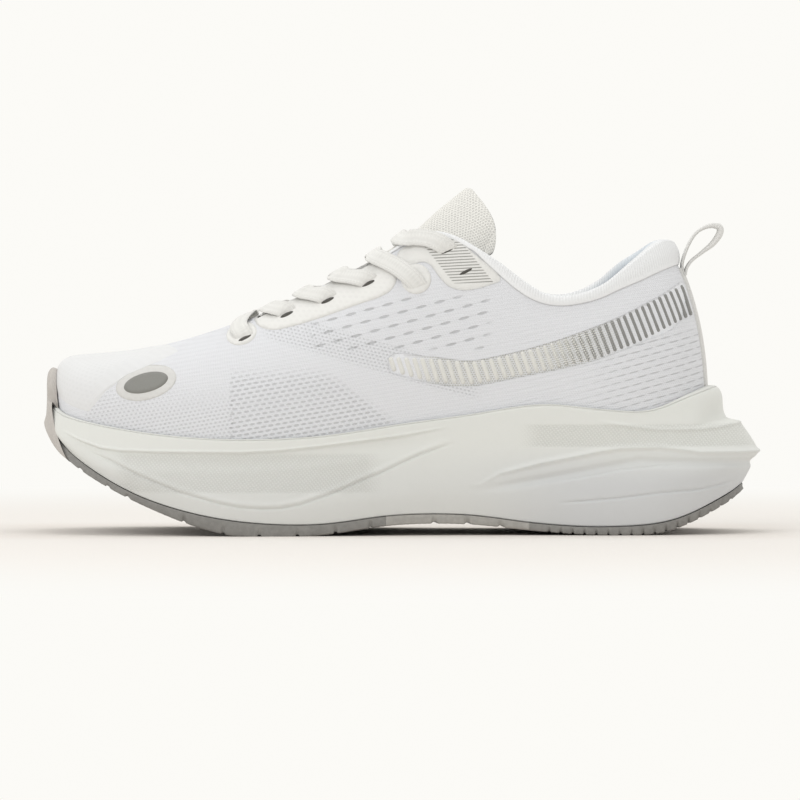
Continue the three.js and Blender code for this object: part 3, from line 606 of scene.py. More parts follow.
def oval_holes(m, x, z):
    """Wide ovals from the toe box to the midfoot, where their field has a slanted end."""
    across, along = m.turned(x, z, KNIT_TURN)
    ovals = m.holes(across, along, (0.0030, 0.00185), (0.0011, 0.00045))
    slanted_end = m.ramp(m.height((1.0, x), (1.3, z)), 0.063, 0.054)
    field = m.times(m.window(x, OVALS_START, 0.02, 0.0015), m.ramp(z, 0.072, 0.062))
    return m.times(ovals, m.times(field, slanted_end))


def strip_holes(m, x, z):
    """A slanted strip of small holes above the ovals."""
    across, along = m.turned(x, z, math.radians(-13))
    holes = m.holes(across, along, (0.0017, 0.0014), (0.0005, 0.00035))
    strip = m.window(m.height((0.29, x), (1.0, z)), 0.0675, 0.0765, 0.003)
    return m.times(holes, m.times(strip, m.window(x, -0.052, 0.028, 0.008)))


def midfoot_dashes(m, x, z):
    """Rows of dashes under the lace, with a fine thread along each row."""
    across, along = m.turned(x, z, DASH_TURN)
    dashes = m.holes(across, along, (0.0080, DASH_PITCH), (0.0022, 0.00055), 0.35)
    threads = m.ramp(m.wave(along, DASH_PITCH, math.pi), 0.975, 1.0)
    field = m.times(m.window(x, -0.033, 0.034, 0.006), m.window(z, 0.079, 0.098, 0.003))
    return m.times(m.height((1.1, dashes), (0.25, threads)), field)


def quarter_rows(m, x, z):
    """Fine ribs under the side band, with long slits toward the heel."""
    across, along = m.turned(x, z, DASH_TURN)
    slits = m.holes(across, along, (0.0056, RIB_PITCH), (0.0021, 0.00026))
    ribs = m.ramp(m.wave(along, RIB_PITCH, math.pi), 0.8, 1.0)
    field = m.times(m.window(x, 0.055, 0.130, 0.02), m.window(z, 0.054, 0.082, 0.006))
    return m.times(m.height((0.95, m.times(slits, m.ramp(x, 0.070, 0.100))), (0.2, ribs)), field)


def upper_material():
    """Engineered knit: fine loops all over, with fields of open holes, dashes and fine rows."""
    m = Shader("knit", KNIT_WHITE, 0.85)
    x, _, z = m.parts(m.position)
    u, v, _ = m.parts(m.uv())
    loops = m.holes(u, v, (0.0011, 0.0008), (0.0004, 0.00028))
    _, row_height = m.turned(x, z, KNIT_TURN)
    rows = m.wave(row_height, 0.0017)
    open_holes = m.height(
        (0.7, toe_holes(m, x, z)),
        (1.0, oval_holes(m, x, z)),
        (0.8, strip_holes(m, x, z)),
        (1.0, midfoot_dashes(m, x, z)),
        (0.9, quarter_rows(m, x, z)),
    )
    dark = m.height((0.34, open_holes), (0.05, loops), (0.04, m.noise(900)), (0.05, rows))
    m.color(m.mix(dark, KNIT_WHITE, SHADE))
    m.bump(m.height((-1.0, open_holes), (-0.3, loops), (0.15, m.noise(2500)), (-0.15, rows)), 0.6, 0.0005)
    return m.material


def toned(color, share):
    """A darker tone of a color, or a lighter one where the share is over 1."""
    return tuple(share * c for c in color)


def film_material(name, color):
    """A thin smooth polymer film with a faint cast of the knit under it."""
    m = Shader(name, color, 0.42)
    m.surface.inputs["Specular IOR Level"].default_value = 0.4
    u, v, _ = m.parts(m.uv())
    cast = m.holes(u, v, (0.0026, 0.002), (0.0008, 0.0006))
    m.color(m.mix(m.height((0.25, cast), (0.3, m.noise(60))), color, toned(color, 0.9)))
    m.bump(m.height((-0.25, cast), (0.3, m.noise(700))), 0.35, 0.0003)
    return m.material


def lock_panel_material():
    """The heel-lock film with thin level grooves pressed close together."""
    m = Shader("lock_film", FILM_CREAM, 0.45)
    x, _, z = m.parts(m.position)
    _, along = m.turned(x, z, math.radians(3))
    groove = m.ramp(m.wave(along, 0.00122), 0.6, 0.9)
    slanted = m.window(m.height((1.0, x), (0.795, z)), 0.1065, 0.1225, 0.0008)
    inside = m.times(slanted, m.window(z, 0.1055, 0.1240, 0.0008))
    groove = m.times(groove, inside)
    shade = m.height((0.8, groove), (0.12, m.noise(400)))
    m.color(m.mix(shade, FILM_CREAM, GROOVE_SHADE))
    m.bump(m.height((-1.0, groove), (0.15, m.noise(900))), 0.5, 0.0004)
    return m.material


def band_material(name, raised):
    """The side band: raised bars that turn from gray at the heel to cream at the midfoot, or the
    knit between them. Both are speckled on the way."""
    m = Shader(name, BAND_GRAY, 0.6)
    x, _, z = m.parts(m.position)
    speckle = m.holes(x, z, (0.0011, 0.0009), (0.00042, 0.00034))
    grain = m.height((0.7, speckle), (0.5, m.noise(1300)))
    if raised:
        turning = m.ramp(x, 0.114, 0.040)
        share = m.height((1.9, turning), (0.9, grain), (-1.15, 1.0))
        m.color(m.mix(m.ramp(share, 0.0, 0.8), BAND_GRAY, BAND_CREAM))
    else:
        creamy = m.times(m.ramp(x, 0.106, 0.070), m.ramp(x, 0.000, 0.020))
        share = m.times(grain, creamy)
        m.color(m.mix(share, KNIT_WHITE, BAND_SPECKLE))
    m.bump(grain, 0.4, 0.0003)
    return m.material


def foam_material():
    """Moulded foam: a fine skin, with hatched and dimpled fields pressed into it, and painted shade over its
    lower wall, darker toward the heel.
    """
    m = Shader("foam", FOAM_WHITE, 0.62)
    x, _, z = m.parts(m.position)
    skin = m.noise(1800, 2)
    one_way, other_way = m.turned(x, z, math.radians(38))
    hatch = m.math("MAXIMUM", m.wave(one_way, HATCH_PITCH), m.wave(other_way, HATCH_PITCH))
    front_field = m.times(m.window(x, -0.112, -0.016, 0.01), m.window(z, 0.019, 0.033, 0.002))
    heel_field = m.times(m.window(x, 0.060, 0.143, 0.012), m.window(z, 0.0375, 0.0455, 0.0012))
    fields = m.math("MAXIMUM", front_field, heel_field)
    texture = m.times(hatch, fields)
    # Painted shade: the lower wall turns darker and bluer, more so toward the heel.
    heelward = m.height((0.65, m.ramp(x, 0.020, 0.080)), (0.35, 1.0))
    low = m.times(heelward, m.ramp(z, 0.042, 0.020))
    shade = m.height((0.26, texture), (0.06, m.noise(300)), (0.05, skin))
    m.color(m.mix(shade, m.mix(low, FOAM_WHITE, FOAM_PAINTED_SHADE), FOAM_SHADE))
    m.bump(m.height((-0.8, texture), (0.12, skin)), 0.6, 0.0003)
    return m.material


def rubber_material(name, color):
    """Moulded rubber, slightly mottled and dusty."""
    m = Shader(name, color, 0.6)
    mottled = m.height((0.6, m.noise(500)), (0.4, m.noise(90)))
    m.color(m.mix(m.ramp(mottled, 0.3, 0.8), color, toned(color, 1.35)))
    m.bump(m.noise(2200, 4), 0.35, 0.0002)
    return m.material


def woven_material(name, color, across, along):
    """A woven strap or lace: rows of crossing threads."""
    m = Shader(name, color, 0.85)
    u, v, _ = m.parts(m.uv())
    weft = m.wave(m.height((1.0, u), (0.35, v)), across)
    other = m.wave(m.height((1.0, u), (-0.35, v)), across)
    warp = m.wave(v, along)
    weave = m.height((0.5, m.times(weft, other)), (0.5, warp))
    m.color(m.mix(m.height((0.35, weave), (0.15, m.noise(1500))), toned(color, 0.78), color))
    m.bump(weave, 0.55, 0.0003)
    return m.material


def tongue_material():
    """Spacer mesh: a warm white knit with rows of tiny round holes."""
    m = Shader("tongue_mesh", TONGUE_WHITE, 0.85)
    u, v, _ = m.parts(m.uv())
    holes = m.holes(u, v, (0.0014, 0.0012), (0.00045, 0.00035))
    m.color(m.mix(m.height((0.30, holes), (0.06, m.noise(900))), TONGUE_WHITE, SHADE))
    m.bump(m.height((-1.0, holes), (0.2, m.noise(1800))), 0.6, 0.0004)
    return m.material


def collar_material():
    """Ribbed knit: white over the rolled edge, pale blue down the inside."""
    m = Shader("collar_knit", COLLAR_WHITE, 0.85)
    u, v, _ = m.parts(m.uv())
    ribs = m.wave(u, 0.0013)
    seam = m.ramp(v, 0.0013, 0.0001)
    inside = m.ramp(v, 0.012, 0.022)
    cloth = m.mix(inside, COLLAR_WHITE, LINING_BLUE)
    rib_depth = m.times(ribs, m.ramp(v, 0.001, 0.004))
    shade = m.height((0.6, seam), (0.10, rib_depth), (0.08, m.noise(1200)))
    m.color(m.mix(shade, cloth, SEAM_SHADE))
    m.bump(m.height((-0.6, rib_depth), (-1.0, seam), (0.2, m.noise(1800))), 0.5, 0.0004)
    return m.material


def plain_weave(name, color, pitch=0.0012):
    """A simple cloth or board texture for what is hidden inside."""
    m = Shader(name, color, 0.9)
    x, y, z = m.parts(m.position)
    weave = m.times(m.wave(x, pitch), m.wave(m.math("ADD", y, z), pitch))
    m.color(m.mix(m.height((0.4, weave), (0.3, m.noise(400))), color, toned(color, 0.7)))
    m.bump(weave, 0.4, 0.0003)
    return m.material


# ---------------------------------------------------------------- finishing a piece
def finish_piece(made, body, slot, materials, *nodes):
    """Gives a new piece its material and its body, and hides the CAD nodes that it stands for. The slot is
    not used.
    """
    for material in materials if isinstance(materials, (list, tuple)) else [materials]:
        made.data.materials.append(material)
    if body:
        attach(made, body)
    if nodes:
        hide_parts(*nodes)
    return made


def arc_lengths(points, axis):
    """Running length along one axis of a grid of points, in metres."""
    steps = np.linalg.norm(np.diff(points, axis=axis), axis=-1)
    running = np.cumsum(steps, axis=axis)
    first = np.zeros_like(np.take(running, [0], axis=axis))
    return np.concatenate([first, running], axis=axis) * MM


def ring_uv(points, level_row):
    """Texture coordinates in metres: round the shoe along one row, and up each column."""
    around = arc_lengths(points[level_row : level_row + 1], 1)
    up = arc_lengths(points, 0)
    return np.stack([np.repeat(around, len(points), 0), up], -1)


def strap_uv(along, girth, count):
    """Texture coordinates in metres of a strap: its length and the way round its section."""
    around = ring_columns(count) * girth * MM
    return np.stack(np.broadcast_arrays(along[None], around[:, None]), -1)


# ---------------------------------------------------------------- upper
UPPER_THICKNESS = 1.8
UPPER_COLUMNS = 1000
EDGE_RISE = 0.7
KNIT = upper_material()


def rounded_edge(t, outer, inner, count, height):
    """Rows over the opening's edge, from one offset to another along half an ellipse."""
    rise = upper_point(t, TOP, 0) - upper_point(t, TOP - 0.3, 0)
    rise /= np.linalg.norm(rise, axis=-1, keepdims=True)
    rows = []
    for angle in np.linspace(0, math.pi, count)[1:-1]:
        offset = (outer + inner) / 2 + (outer - inner) / 2 * math.cos(angle)
        rows.append(upper_point(t, TOP, offset) + rise * np.asarray(height * math.sin(angle))[..., None])
    return rows


def build_upper():
    t = ring_columns(UPPER_COLUMNS)
    outer = [upper_point(t, level, 0) for level in np.linspace(0.5, TOP, 120)]
    edge = rounded_edge(t, 0, -UPPER_THICKNESS, 8, EDGE_RISE)
    inner = [upper_point(t, level, -UPPER_THICKNESS) for level in np.linspace(TOP, 0.1, 50)]
    points = np.array(outer + edge + inner)
    made = grid_object("upper_mesh_fine", points, closed_columns=True, flip=True, uv=ring_uv(points, 60))
    return finish_piece(made, "shoe", "mesh", KNIT, "upper_mesh")


upper = build_upper()
UPPER_TREE = BVHTree.FromObject(upper, bpy.context.evaluated_depsgraph_get())


# ---------------------------------------------------------------- overlays laid on the knit
def smooth_outline(points, spacing=0.8):
    """A closed rounded outline through (x, z) points, with evenly spaced samples."""
    fine = spline(np.array(points, float), ring_columns(1600), True)
    looped = np.vstack([fine, fine[:1]])
    running = running_length(looped)
    count = max(int(running[-1] / spacing), 12)
    return points_at(ring_columns(count) * running[-1], running, looped)


def ellipse_outline(x, z, half_length, half_height, turn=0.0, count=40):
    angle = ring_columns(count) * 2 * math.pi
    a, b = half_length * np.cos(angle), half_height * np.sin(angle)
    cosine, sine = math.cos(turn), math.sin(turn)
    return np.stack([x + a * cosine - b * sine, z + a * sine + b * cosine], -1)


def inside_outline(points, outline):
    """Which points lie inside a closed outline, by counting crossings."""
    inside = np.zeros(len(points), bool)
    x, z = points[:, 0], points[:, 1]
    for (x0, z0), (x1, z1) in zip(outline, np.roll(outline, -1, axis=0)):
        if z0 == z1:
            continue
        crosses = (z0 > z) != (z1 > z)
        inside ^= crosses & (x < (x1 - x0) * (z - z0) / (z1 - z0) + x0)
    return inside


def edge_distance(points, outline):
    """The distance of each point to the nearest side of a closed outline."""
    best = np.full(len(points), np.inf)
    for start, end in zip(outline, np.roll(outline, -1, axis=0)):
        along = end - start
        share = np.clip(((points - start) @ along) / max(along @ along, 1e-12), 0, 1)
        best = np.minimum(best, np.linalg.norm(points - start - share[:, None] * along, axis=1))
    return best


def project(points, side):
    """Where points given in x and z meet the upper from one side, and the surface's normal there."""
    places, normals = [], []
    last = None
    for x, z in points:
        start = Vector((x * MM, side * 0.2, z * MM))
        place, normal, _, _ = UPPER_TREE.ray_cast(start, Vector((0, -side, 0)))
        if place is None:
            start.y = 0
            place, normal, _, _ = UPPER_TREE.find_nearest(last or start)
        last = place
        places.append(np.array(place) / MM)
        normals.append(np.array(normal))
    return np.array(places), np.array(normals)


def staggered_lattice(outline, spacing):
    """Points inside an outline in staggered rows, none of them close to its edge."""
    low, high = outline.min(0), outline.max(0)
    xs = np.arange(low[0] + spacing / 2, high[0], spacing)
    zs = np.arange(low[1] + spacing / 2, high[1], spacing)
    lattice = np.stack(np.meshgrid(xs, zs), -1).reshape(-1, 2)
    lattice[:, 0] += np.where(np.round(lattice[:, 1] / spacing) % 2 == 0, 0, spacing / 2)
    lattice = lattice[inside_outline(lattice, outline)]
    return lattice[edge_distance(lattice, outline) > spacing * 0.35]


def triangulate(outline, inner):
    """Points, triangles and the ring of edge points of an outline filled with inner points."""
    count = len(outline)
    edges = [(i, (i + 1) % count) for i in range(count)]
    points = [Vector(point) for point in np.vstack([outline, inner])]
    flat, _, faces, origins, _, _ = delaunay_2d_cdt(points, edges, [list(range(count))], 1, 1e-6)
    places = {origin[0]: i for i, origin in enumerate(origins) if origin and origin[0] < count}
    ring = [places[k] for k in range(count) if k in places]
    return np.array([tuple(point) for point in flat]), [tuple(face) for face in faces], ring


def overlay_mesh(outline, side, base, thickness, spacing, softness):
    """Vertices, faces and flat coordinates of a pad on the upper, with soft edges and a skirt."""
    flat, faces, ring = triangulate(outline, staggered_lattice(outline, spacing))
    places, normals = project(flat, side)
    fullness = np.sqrt(smoothstep(-0.02, softness, edge_distance(flat, outline)))
    top = places + normals * (base + thickness * fullness)[:, None]
    skirt = places[ring] - normals[ring] * SKIRT_DEPTH
    a, b, c = (top[[face[k] for face in faces]] for k in range(3))
    facing = (np.cross(b - a, c - a) * normals[[face[0] for face in faces]]).sum()
    for k in range(len(ring)):
        after = (k + 1) % len(ring)
        faces.append((ring[k], len(top) + k, len(top) + after, ring[after]))
    if facing < 0:
        faces = [face[::-1] for face in faces]
    return np.vstack([top, skirt]), faces, np.vstack([flat, flat[ring]]) * MM


def overlay_object(name, outlines, side, base, thickness, spacing=1.2, softness=0.35):
    """Pads on one side of the upper as one object. The base is their least height over the knit."""
    vertices, faces, uv = [], [], []
    count = 0
    for outline in outlines:
        pad_vertices, pad_faces, pad_uv = overlay_mesh(outline, side, base, thickness, spacing, softness)
        vertices.append(pad_vertices)
        uv.append(pad_uv)
        faces += [tuple(i + count for i in face) for face in pad_faces]
        count += len(pad_vertices)
    return mesh_object(name, np.vstack(vertices), faces, np.vstack(uv))


EYESTAY = [
    (-61, 90.6), (-59.5, 87.4), (-53.3, 85.6), (-45.8, 86.9), (-33.3, 90.6), (-16.7, 96.5),
    (-8.3, 99.4), (-3.5, 102.5), (-1.3, 107.3), (-2.2, 116), (-9, 117.5), (-14, 113.6),
    (-25, 107.8), (-42, 99.4), (-58, 92.6),
]
LOCK_PANEL = [
    (-1, 117.4), (5, 122), (10, 125), (15.7, 126.3), (22.3, 126), (27.7, 120.4), (42, 106.6), (38, 104.5),
    (26.9, 102.1), (20.5, 103.7), (16.5, 107.6), (12.5, 112.8), (9.5, 113.9), (5, 112.6), (0, 109.5),
]
BAND_UPPER_EDGE = [
    (-4.2, 74.4), (12.5, 74), (29.2, 72.3), (41.7, 74.4), (58.3, 78.5), (75, 84), (91.7, 90.6), (108.3, 99),
    (119.6, 104.8),
]
BAND_LOWER_EDGE = [
    (-4.2, 69), (0, 67.3), (12.5, 64), (29.2, 62.7), (50, 66.5), (66.7, 69.8), (83.3, 74), (100, 80.6),
    (116.7, 89), (122.5, 91.5),
]
BAND_MARGIN = 0.6
BARS_START, BARS_END = -2.5, 122.3
BAR_LEAN = math.tan(math.radians(18))
BAR_PITCH_FRONT, BAR_PITCH_HEEL = 3.6, 2.3
BAR_HALF_SHARE = 0.27
SKIRT_DEPTH = 0.3
FILM = film_material("film", FILM_CREAM)
TOE_FILM = film_material("toe_film", (0.79, 0.795, 0.805))
MARGIN_FILM = film_material("margin_film", (0.70, 0.695, 0.68))
LOCK_FILM = lock_panel_material()
# Painted shadow colour for the slots that the lace goes through.
SLOT_SHADOW_FILM = film_material("slot_shadow", (0.075, 0.07, 0.062))
EYELETS = [(-65.4, 83.1), (-47.9, 92.9), (-30.8, 98.8), (-13.8, 106), (6.5, 105.2), (19.2, 119.8)]
SPARE_SLOT = (27.5, 109.8)
SLOT_TURN = math.pi / 7
SLOT_HALF_LENGTH, SLOT_HALF_HEIGHT = 2.9, 0.6
# The painted shadow of a slot's open edge shows on the lower side of its strand.
SLOT_SHOWS = (0.7, -1.3)
PILL_PLACE, PILL_TURN = (-106, 63.5), 0.25


def capsule_outline(bottom, top, half_width, count=7):
    """An upright bar with round ends between two (x, z) points."""
    bottom, top = np.array(bottom), np.array(top)
    along = (top - bottom) / np.linalg.norm(top - bottom)
    across = np.array([along[1], -along[0]])
    points = []
    for centre, start in ((top, 0.0), (bottom, math.pi)):
        for angle in np.linspace(start, start + math.pi, count):
            points.append(centre + half_width * (math.cos(angle) * across + math.sin(angle) * along))
    return np.array(points)


def band_bars():
    """The outlines of the band's leaning bars, closer together toward the heel."""
    outlines = []
    x = BARS_START
    while x < BARS_END:
        heelward = max(0.0, (x - BARS_START) / 122 - 0.25) / 0.75
        pitch = BAR_PITCH_FRONT + (BAR_PITCH_HEEL - BAR_PITCH_FRONT) * heelward
        half_width = pitch * BAR_HALF_SHARE
        low_z = line_height(BAND_LOWER_EDGE, x) + half_width
        high_x = x - (line_height(BAND_UPPER_EDGE, x) - half_width - low_z) * BAR_LEAN
        high_z = line_height(BAND_UPPER_EDGE, high_x) - half_width
        outlines.append(capsule_outline((x, low_z), (high_x, high_z), half_width))
        x += pitch
    return outlines


def band_area():
    upper_edge = shifted(BAND_UPPER_EDGE, BAND_MARGIN)
    lower_edge = shifted(BAND_LOWER_EDGE[:-1], -BAND_MARGIN)
    return smooth_outline(upper_edge + lower_edge[::-1])


def build_films(side, name):
    # Each pad has a piece name, an outline, a base and a thickness in millimetres, a film and a CAD node.
    pads = [
        ("eyestay_film_", smooth_outline(EYESTAY), 0.15, 0.4, FILM, "eyestay_"),
        ("lock_film_", smooth_outline(LOCK_PANEL), 0.15, 0.5, LOCK_FILM, "heel_lock_panel_"),
        ("front_tab_", ellipse_outline(-66.3, 84, 6.5, 4.6, 0.3), 0.15, 0.5, FILM, "front_eyelet_tab_"),
        ("middle_tab_", ellipse_outline(6.7, 106.9, 6.3, 6.3), 0.2, 0.6, FILM, "middle_eyelet_tab_"),
    ]
    for piece, outline, base, thickness, film, node in pads:
        pad = overlay_object(piece + name, [outline], side, base, thickness)
        finish_piece(pad, "shoe", "film", film, node + name)


def build_slots(side, name):
    """Dark film pads painted as the shadow inside the slots that the lace goes through, and the spare one
    behind them.
    """
    places = [(x + SLOT_SHOWS[0], z + SLOT_SHOWS[1]) for x, z in EYELETS] + [SPARE_SLOT]
    slots = [ellipse_outline(x, z, SLOT_HALF_LENGTH, SLOT_HALF_HEIGHT, SLOT_TURN, 20) for x, z in places]
    holes = overlay_object("slots_" + name, slots, side, 0.72, 0.12, 0.7, 0.5)
    finish_piece(holes, "shoe", "film", SLOT_SHADOW_FILM)


def build_band(side, name):
    base = overlay_object("band_base_" + name, [band_area()], side, 0.1, 0.25, 1.4, 1.5)
    finish_piece(base, "shoe", "band", band_material("band_base_" + name, False), "side_band_" + name)
    bars = overlay_object("band_bars_" + name, band_bars(), side, 0.3, 0.75, 0.8, 0.7)
    finish_piece(bars, "shoe", "band", band_material("band_bars_" + name, True), "side_band_" + name)


def build_pill():
    """The plain reflective pill on the outer side of the toe, on a margin of film."""
    outline = ellipse_outline(*PILL_PLACE, 13, 7, PILL_TURN)
    margin = overlay_object("pill_margin", [outline], LATERAL, 0.1, 0.2, 0.8, 2.5)
    finish_piece(margin, "shoe", "film", MARGIN_FILM)
    outline = ellipse_outline(*PILL_PLACE, 9.5, 4, PILL_TURN)
    patch = overlay_object("toe_pill", [outline], LATERAL, 0.3, 0.5, 0.8, 0.6)
    finish_piece(patch, "shoe", "reflective", patch_material(), "toe_patch")


def patch_material():
    """Gray reflective print of fine beads."""
    m = Shader("reflective", (0.24, 0.24, 0.225), 0.5)
    beads = m.noise(4000, 1)
    m.color(m.mix(beads, (0.20, 0.20, 0.185), (0.28, 0.28, 0.262)))
    m.bump(beads, 0.3, 0.0001)
    return m.material


TOE_FILM_LINE = [(-136, 40), (-130, 49), (-124, 58), (-116, 65), (-104, 71), (-92, 75)]
TOE_FILM_FRONT, TOE_FILM_BACK = -135.5, -92
TOE_FILM_REACH = 0.14


def build_toe_film():
    """The smooth film over the toe: it fades into the knit at its edge."""
    t = np.linspace(TOE - TOE_FILM_REACH, TOE + TOE_FILM_REACH, 320)
    levels = np.linspace(BITE_LEVEL + 0.1, TOP - 0.2, 160)
    grid = np.array([upper_point(t, level, 0) for level in levels])
    x, z = grid[..., 0], grid[..., 2]
    covered = (x < TOE_FILM_BACK) & ((x < TOE_FILM_FRONT) | (z > line_height(TOE_FILM_LINE, x)))
    keep = covered.sum(0) > 8
    t = t[keep]
    covered = covered[:, keep]
    first = levels[covered.argmax(0)]
    last = levels[len(levels) - 1 - covered[::-1].argmax(0)]
    ends = smoothstep(0, 0.06, np.minimum(t - t[0], t[-1] - t) / (t[-1] - t[0]))
    rows = []
    for share in np.linspace(0, 1, 70):
        fade = smoothstep(0, 0.12, min(share, 1 - share)) * ends
        rows.append(upper_point(t, first + (last - first) * share, -0.2 + 0.6 * fade))
    points = np.array(rows)
    made = grid_object("toe_film_smooth", points, flip=True, uv=ring_uv(points, 35))
    return finish_piece(made, "shoe", "film", TOE_FILM, "toe_cap_film")


for side, side_name in SIDE_NAMES.items():
    build_films(side, side_name)
    build_slots(side, side_name)
    build_band(side, side_name)
build_pill()
build_toe_film()


# ---------------------------------------------------------------- collar: padded roll and lining
COLLAR_SEAM = [
    (8, 128), (22.9, 126), (33.3, 115.6), (41.7, 107.7), (50, 100.6), (58.3, 96.5), (66.7, 95.2), (75, 96),
    (83.3, 98.1), (91.7, 101.9), (100, 105.2), (108.3, 109), (116.7, 112.3),
]
COLLAR_END = 0.305
PADDED_END = 14 / 66
COLLAR_RISE = 1.5
FAR_LIFT, FAR_LIFT_AT, FAR_LIFT_SPREAD = 2.4, -0.11, 0.035
COLLAR_INSIDE = -9.1
LINING_INSIDE = -5.4
LINING_FACE = -2.4
SEAM_LIFT = 0.15


def seam_level(t):
    """The level where the collar's seam crosses each rib."""
    levels = np.linspace(4, TOP, 120)
    grid = np.array([upper_point(t, level, 0) for level in levels])
    above = grid[..., 2] > line_height(COLLAR_SEAM, grid[..., 0])
    found = levels[np.where(above.any(0), above.argmax(0), len(levels) - 1)]
    even = np.convolve(np.pad(found, 12, "edge"), np.ones(25) / 25, "valid")
    return np.minimum(even, TOP - 0.12)


def build_collar():
    """The padded roll over the opening's edge and the lining that runs down inside from it."""
    t = np.linspace(-COLLAR_END, COLLAR_END, 760)
    body = 0.42 + 0.58 * smoothstep(PADDED_END + 0.004, PADDED_END - 0.02, np.abs(t))
    body = body * smoothstep(COLLAR_END, COLLAR_END - 0.015, np.abs(t))
    seam = seam_level(t)
    fullness = 1.7 * body + 1.3 * np.exp(-((t / 0.035) ** 2))
    rows = [upper_point(t, seam, -0.3)]
    for share in np.linspace(0, 1, 26)[1:]:
        swell = SEAM_LIFT + fullness * math.sin(min(share, 0.75) / 0.75 * math.pi / 2) ** 0.8
        rows.append(upper_point(t, seam + (TOP - seam) * share, swell))
    inner_edge = LINING_FACE + (COLLAR_INSIDE - LINING_FACE) * body
    far_lift = FAR_LIFT * np.exp(-(((t - FAR_LIFT_AT) / FAR_LIFT_SPREAD) ** 2))
    rise = COLLAR_RISE * (0.5 + body) + far_lift
    rows += rounded_edge(t, SEAM_LIFT + fullness, inner_edge, 18, rise)
    for level in np.linspace(TOP, 2.5, 60):
        deep = smoothstep(4.3, 5.5, level)
        inside = LINING_INSIDE + (COLLAR_INSIDE - LINING_INSIDE) * deep
        inside -= 0.8 * math.exp(-(((level - 6.1) / 0.7) ** 2))
        rows.append(upper_point(t, level, LINING_FACE + (inside - LINING_FACE) * body))
    points = np.array(rows)
    made = grid_object("collar_roll", points, flip=True, uv=ring_uv(points, 26))
    return finish_piece(made, "shoe", "lining", collar_material(), "collar_lining", "collar_padding")


collar = build_collar()


# ---------------------------------------------------------------- midsole
RIM_WIDTH, HEEL_RIM_WIDTH, FIT = 2.2, 5.2, 0.4
FOAM_COLUMNS = 1200
WAVE_GROOVE = [
    (-129.2, 34.4), (-120.8, 31), (-108.3, 24.8), (-91.7, 18.1), (-75, 13.5), (-66.7, 11.9), (-58.3, 11.3),
    (-50, 11.5), (-41.7, 13), (-33.3, 15.9), (-25, 19), (-16.7, 22.7), (-8.3, 26), (0, 29.9), (8.3, 33.7),
    (16.7, 36.6), (21.7, 38.2),
]
RIM_LINE = [
    (-140.8, 42.7), (-133.3, 39.4), (-125, 36.5), (-116.7, 35.4), (-100, 35), (-66.7, 34.8), (-50, 35.6),
    (-33.3, 37.3), (-16.7, 39.4), (0, 41.5), (20, 45),
]
HEEL_RIDGE = [
    (33, 21), (41.7, 26), (58.3, 30.2), (75, 33.5), (83.3, 35.2), (91.7, 36.5), (108.3, 36.9), (125, 34.8),
    (182, 34),
]
HEEL_FADE = 26
HEEL_GROOVE = [(33.3, 19), (50, 21.9), (66.7, 24.8), (83.3, 28), (100, 31), (125, 30.2), (182, 30)]
HEEL_CREASE = [(66.7, 22.7), (83.3, 25.6), (91.7, 27.3), (108.3, 29), (118, 29.4)]
LOW_CREASE = [(66.7, 13.5), (91.7, 15.6), (108.3, 17.7), (125, 19), (140, 22)]
HIGH_CREASE = [(83.3, 47.3), (91.7, 46), (100, 44.8), (108.3, 44), (125, 44), (133.3, 44.8), (150, 47.7)]


def rim_width(t):
    from_heel = np.minimum(t % 1, 1 - t % 1)
    share = np.clip(1 - from_heel / 0.12, 0, 1)
    return RIM_WIDTH + (HEEL_RIM_WIDTH - RIM_WIDTH) * share**2


def carved(x, z, line, width, depth, fade=8.0):
    """How deep a moulded line is at each point: full at the line, fading at its ends."""
    ends = smoothstep(line[0][0] - fade / 4, line[0][0] + fade, x)
    ends = ends * smoothstep(line[-1][0] + fade / 4, line[-1][0] - fade, x)
    return depth * ends * np.exp(-(((z - line_height(line, x)) / width) ** 2))


def foam_relief(x, z):
    """How far the side wall is pressed in, in millimetres: its moulded lines and soft ridges."""
    relief = carved(x, z, WAVE_GROOVE, 0.55, 0.65)
    relief = relief - carved(x, z, shifted(WAVE_GROOVE, 1.6), 1.2, 0.4)
    below_rim = np.clip((line_height(RIM_LINE, x) - z) / 9, 0, 1)
    pressed = smoothstep(0, 0.09, below_rim) * (1 - smoothstep(0.35, 1, below_rim))
    relief = relief + 0.9 * pressed * smoothstep(-143, -128, x) * smoothstep(22, -6, x)
    relief = relief - carved(x, z, shifted(RIM_LINE, 0.3), 0.45, 0.45)
    relief = relief - carved(x, z, HEEL_RIDGE, 1.0, 1.3, HEEL_FADE)
    relief = relief + carved(x, z, HEEL_GROOVE, 1.7, 1.5, HEEL_FADE)
    relief = relief + carved(x, z, HEEL_CREASE, 0.4, 0.5)
    relief = relief + carved(x, z, LOW_CREASE, 0.45, 0.6)
    above_crease = z - line_height(HIGH_CREASE, x)
    shelf = smoothstep(0.2, 1.8, above_crease) * smoothstep(15, 2.5, above_crease)
    shelf = shelf * (0.5 * smoothstep(80, 100, x) + 4.0 * smoothstep(122, 138, x))
    return relief + shelf - carved(x, z, HIGH_CREASE, 0.6, 0.55)


def eased(points, place):
    """A point on the smooth curve through a few rings of points, at a place from 0 to the last one."""
    last = len(points) - 1
    k = min(int(place), last - 1)
    w = place - k
    before, start, end, after = (points[i] for i in (max(k - 1, 0), k, k + 1, min(k + 2, last)))
    leave, arrive = (end - before) / 2, (after - start) / 2
    point = start + leave * w + (3 * (end - start) - 2 * leave - arrive) * w**2
    return point + (2 * (start - end) + leave + arrive) * w**3


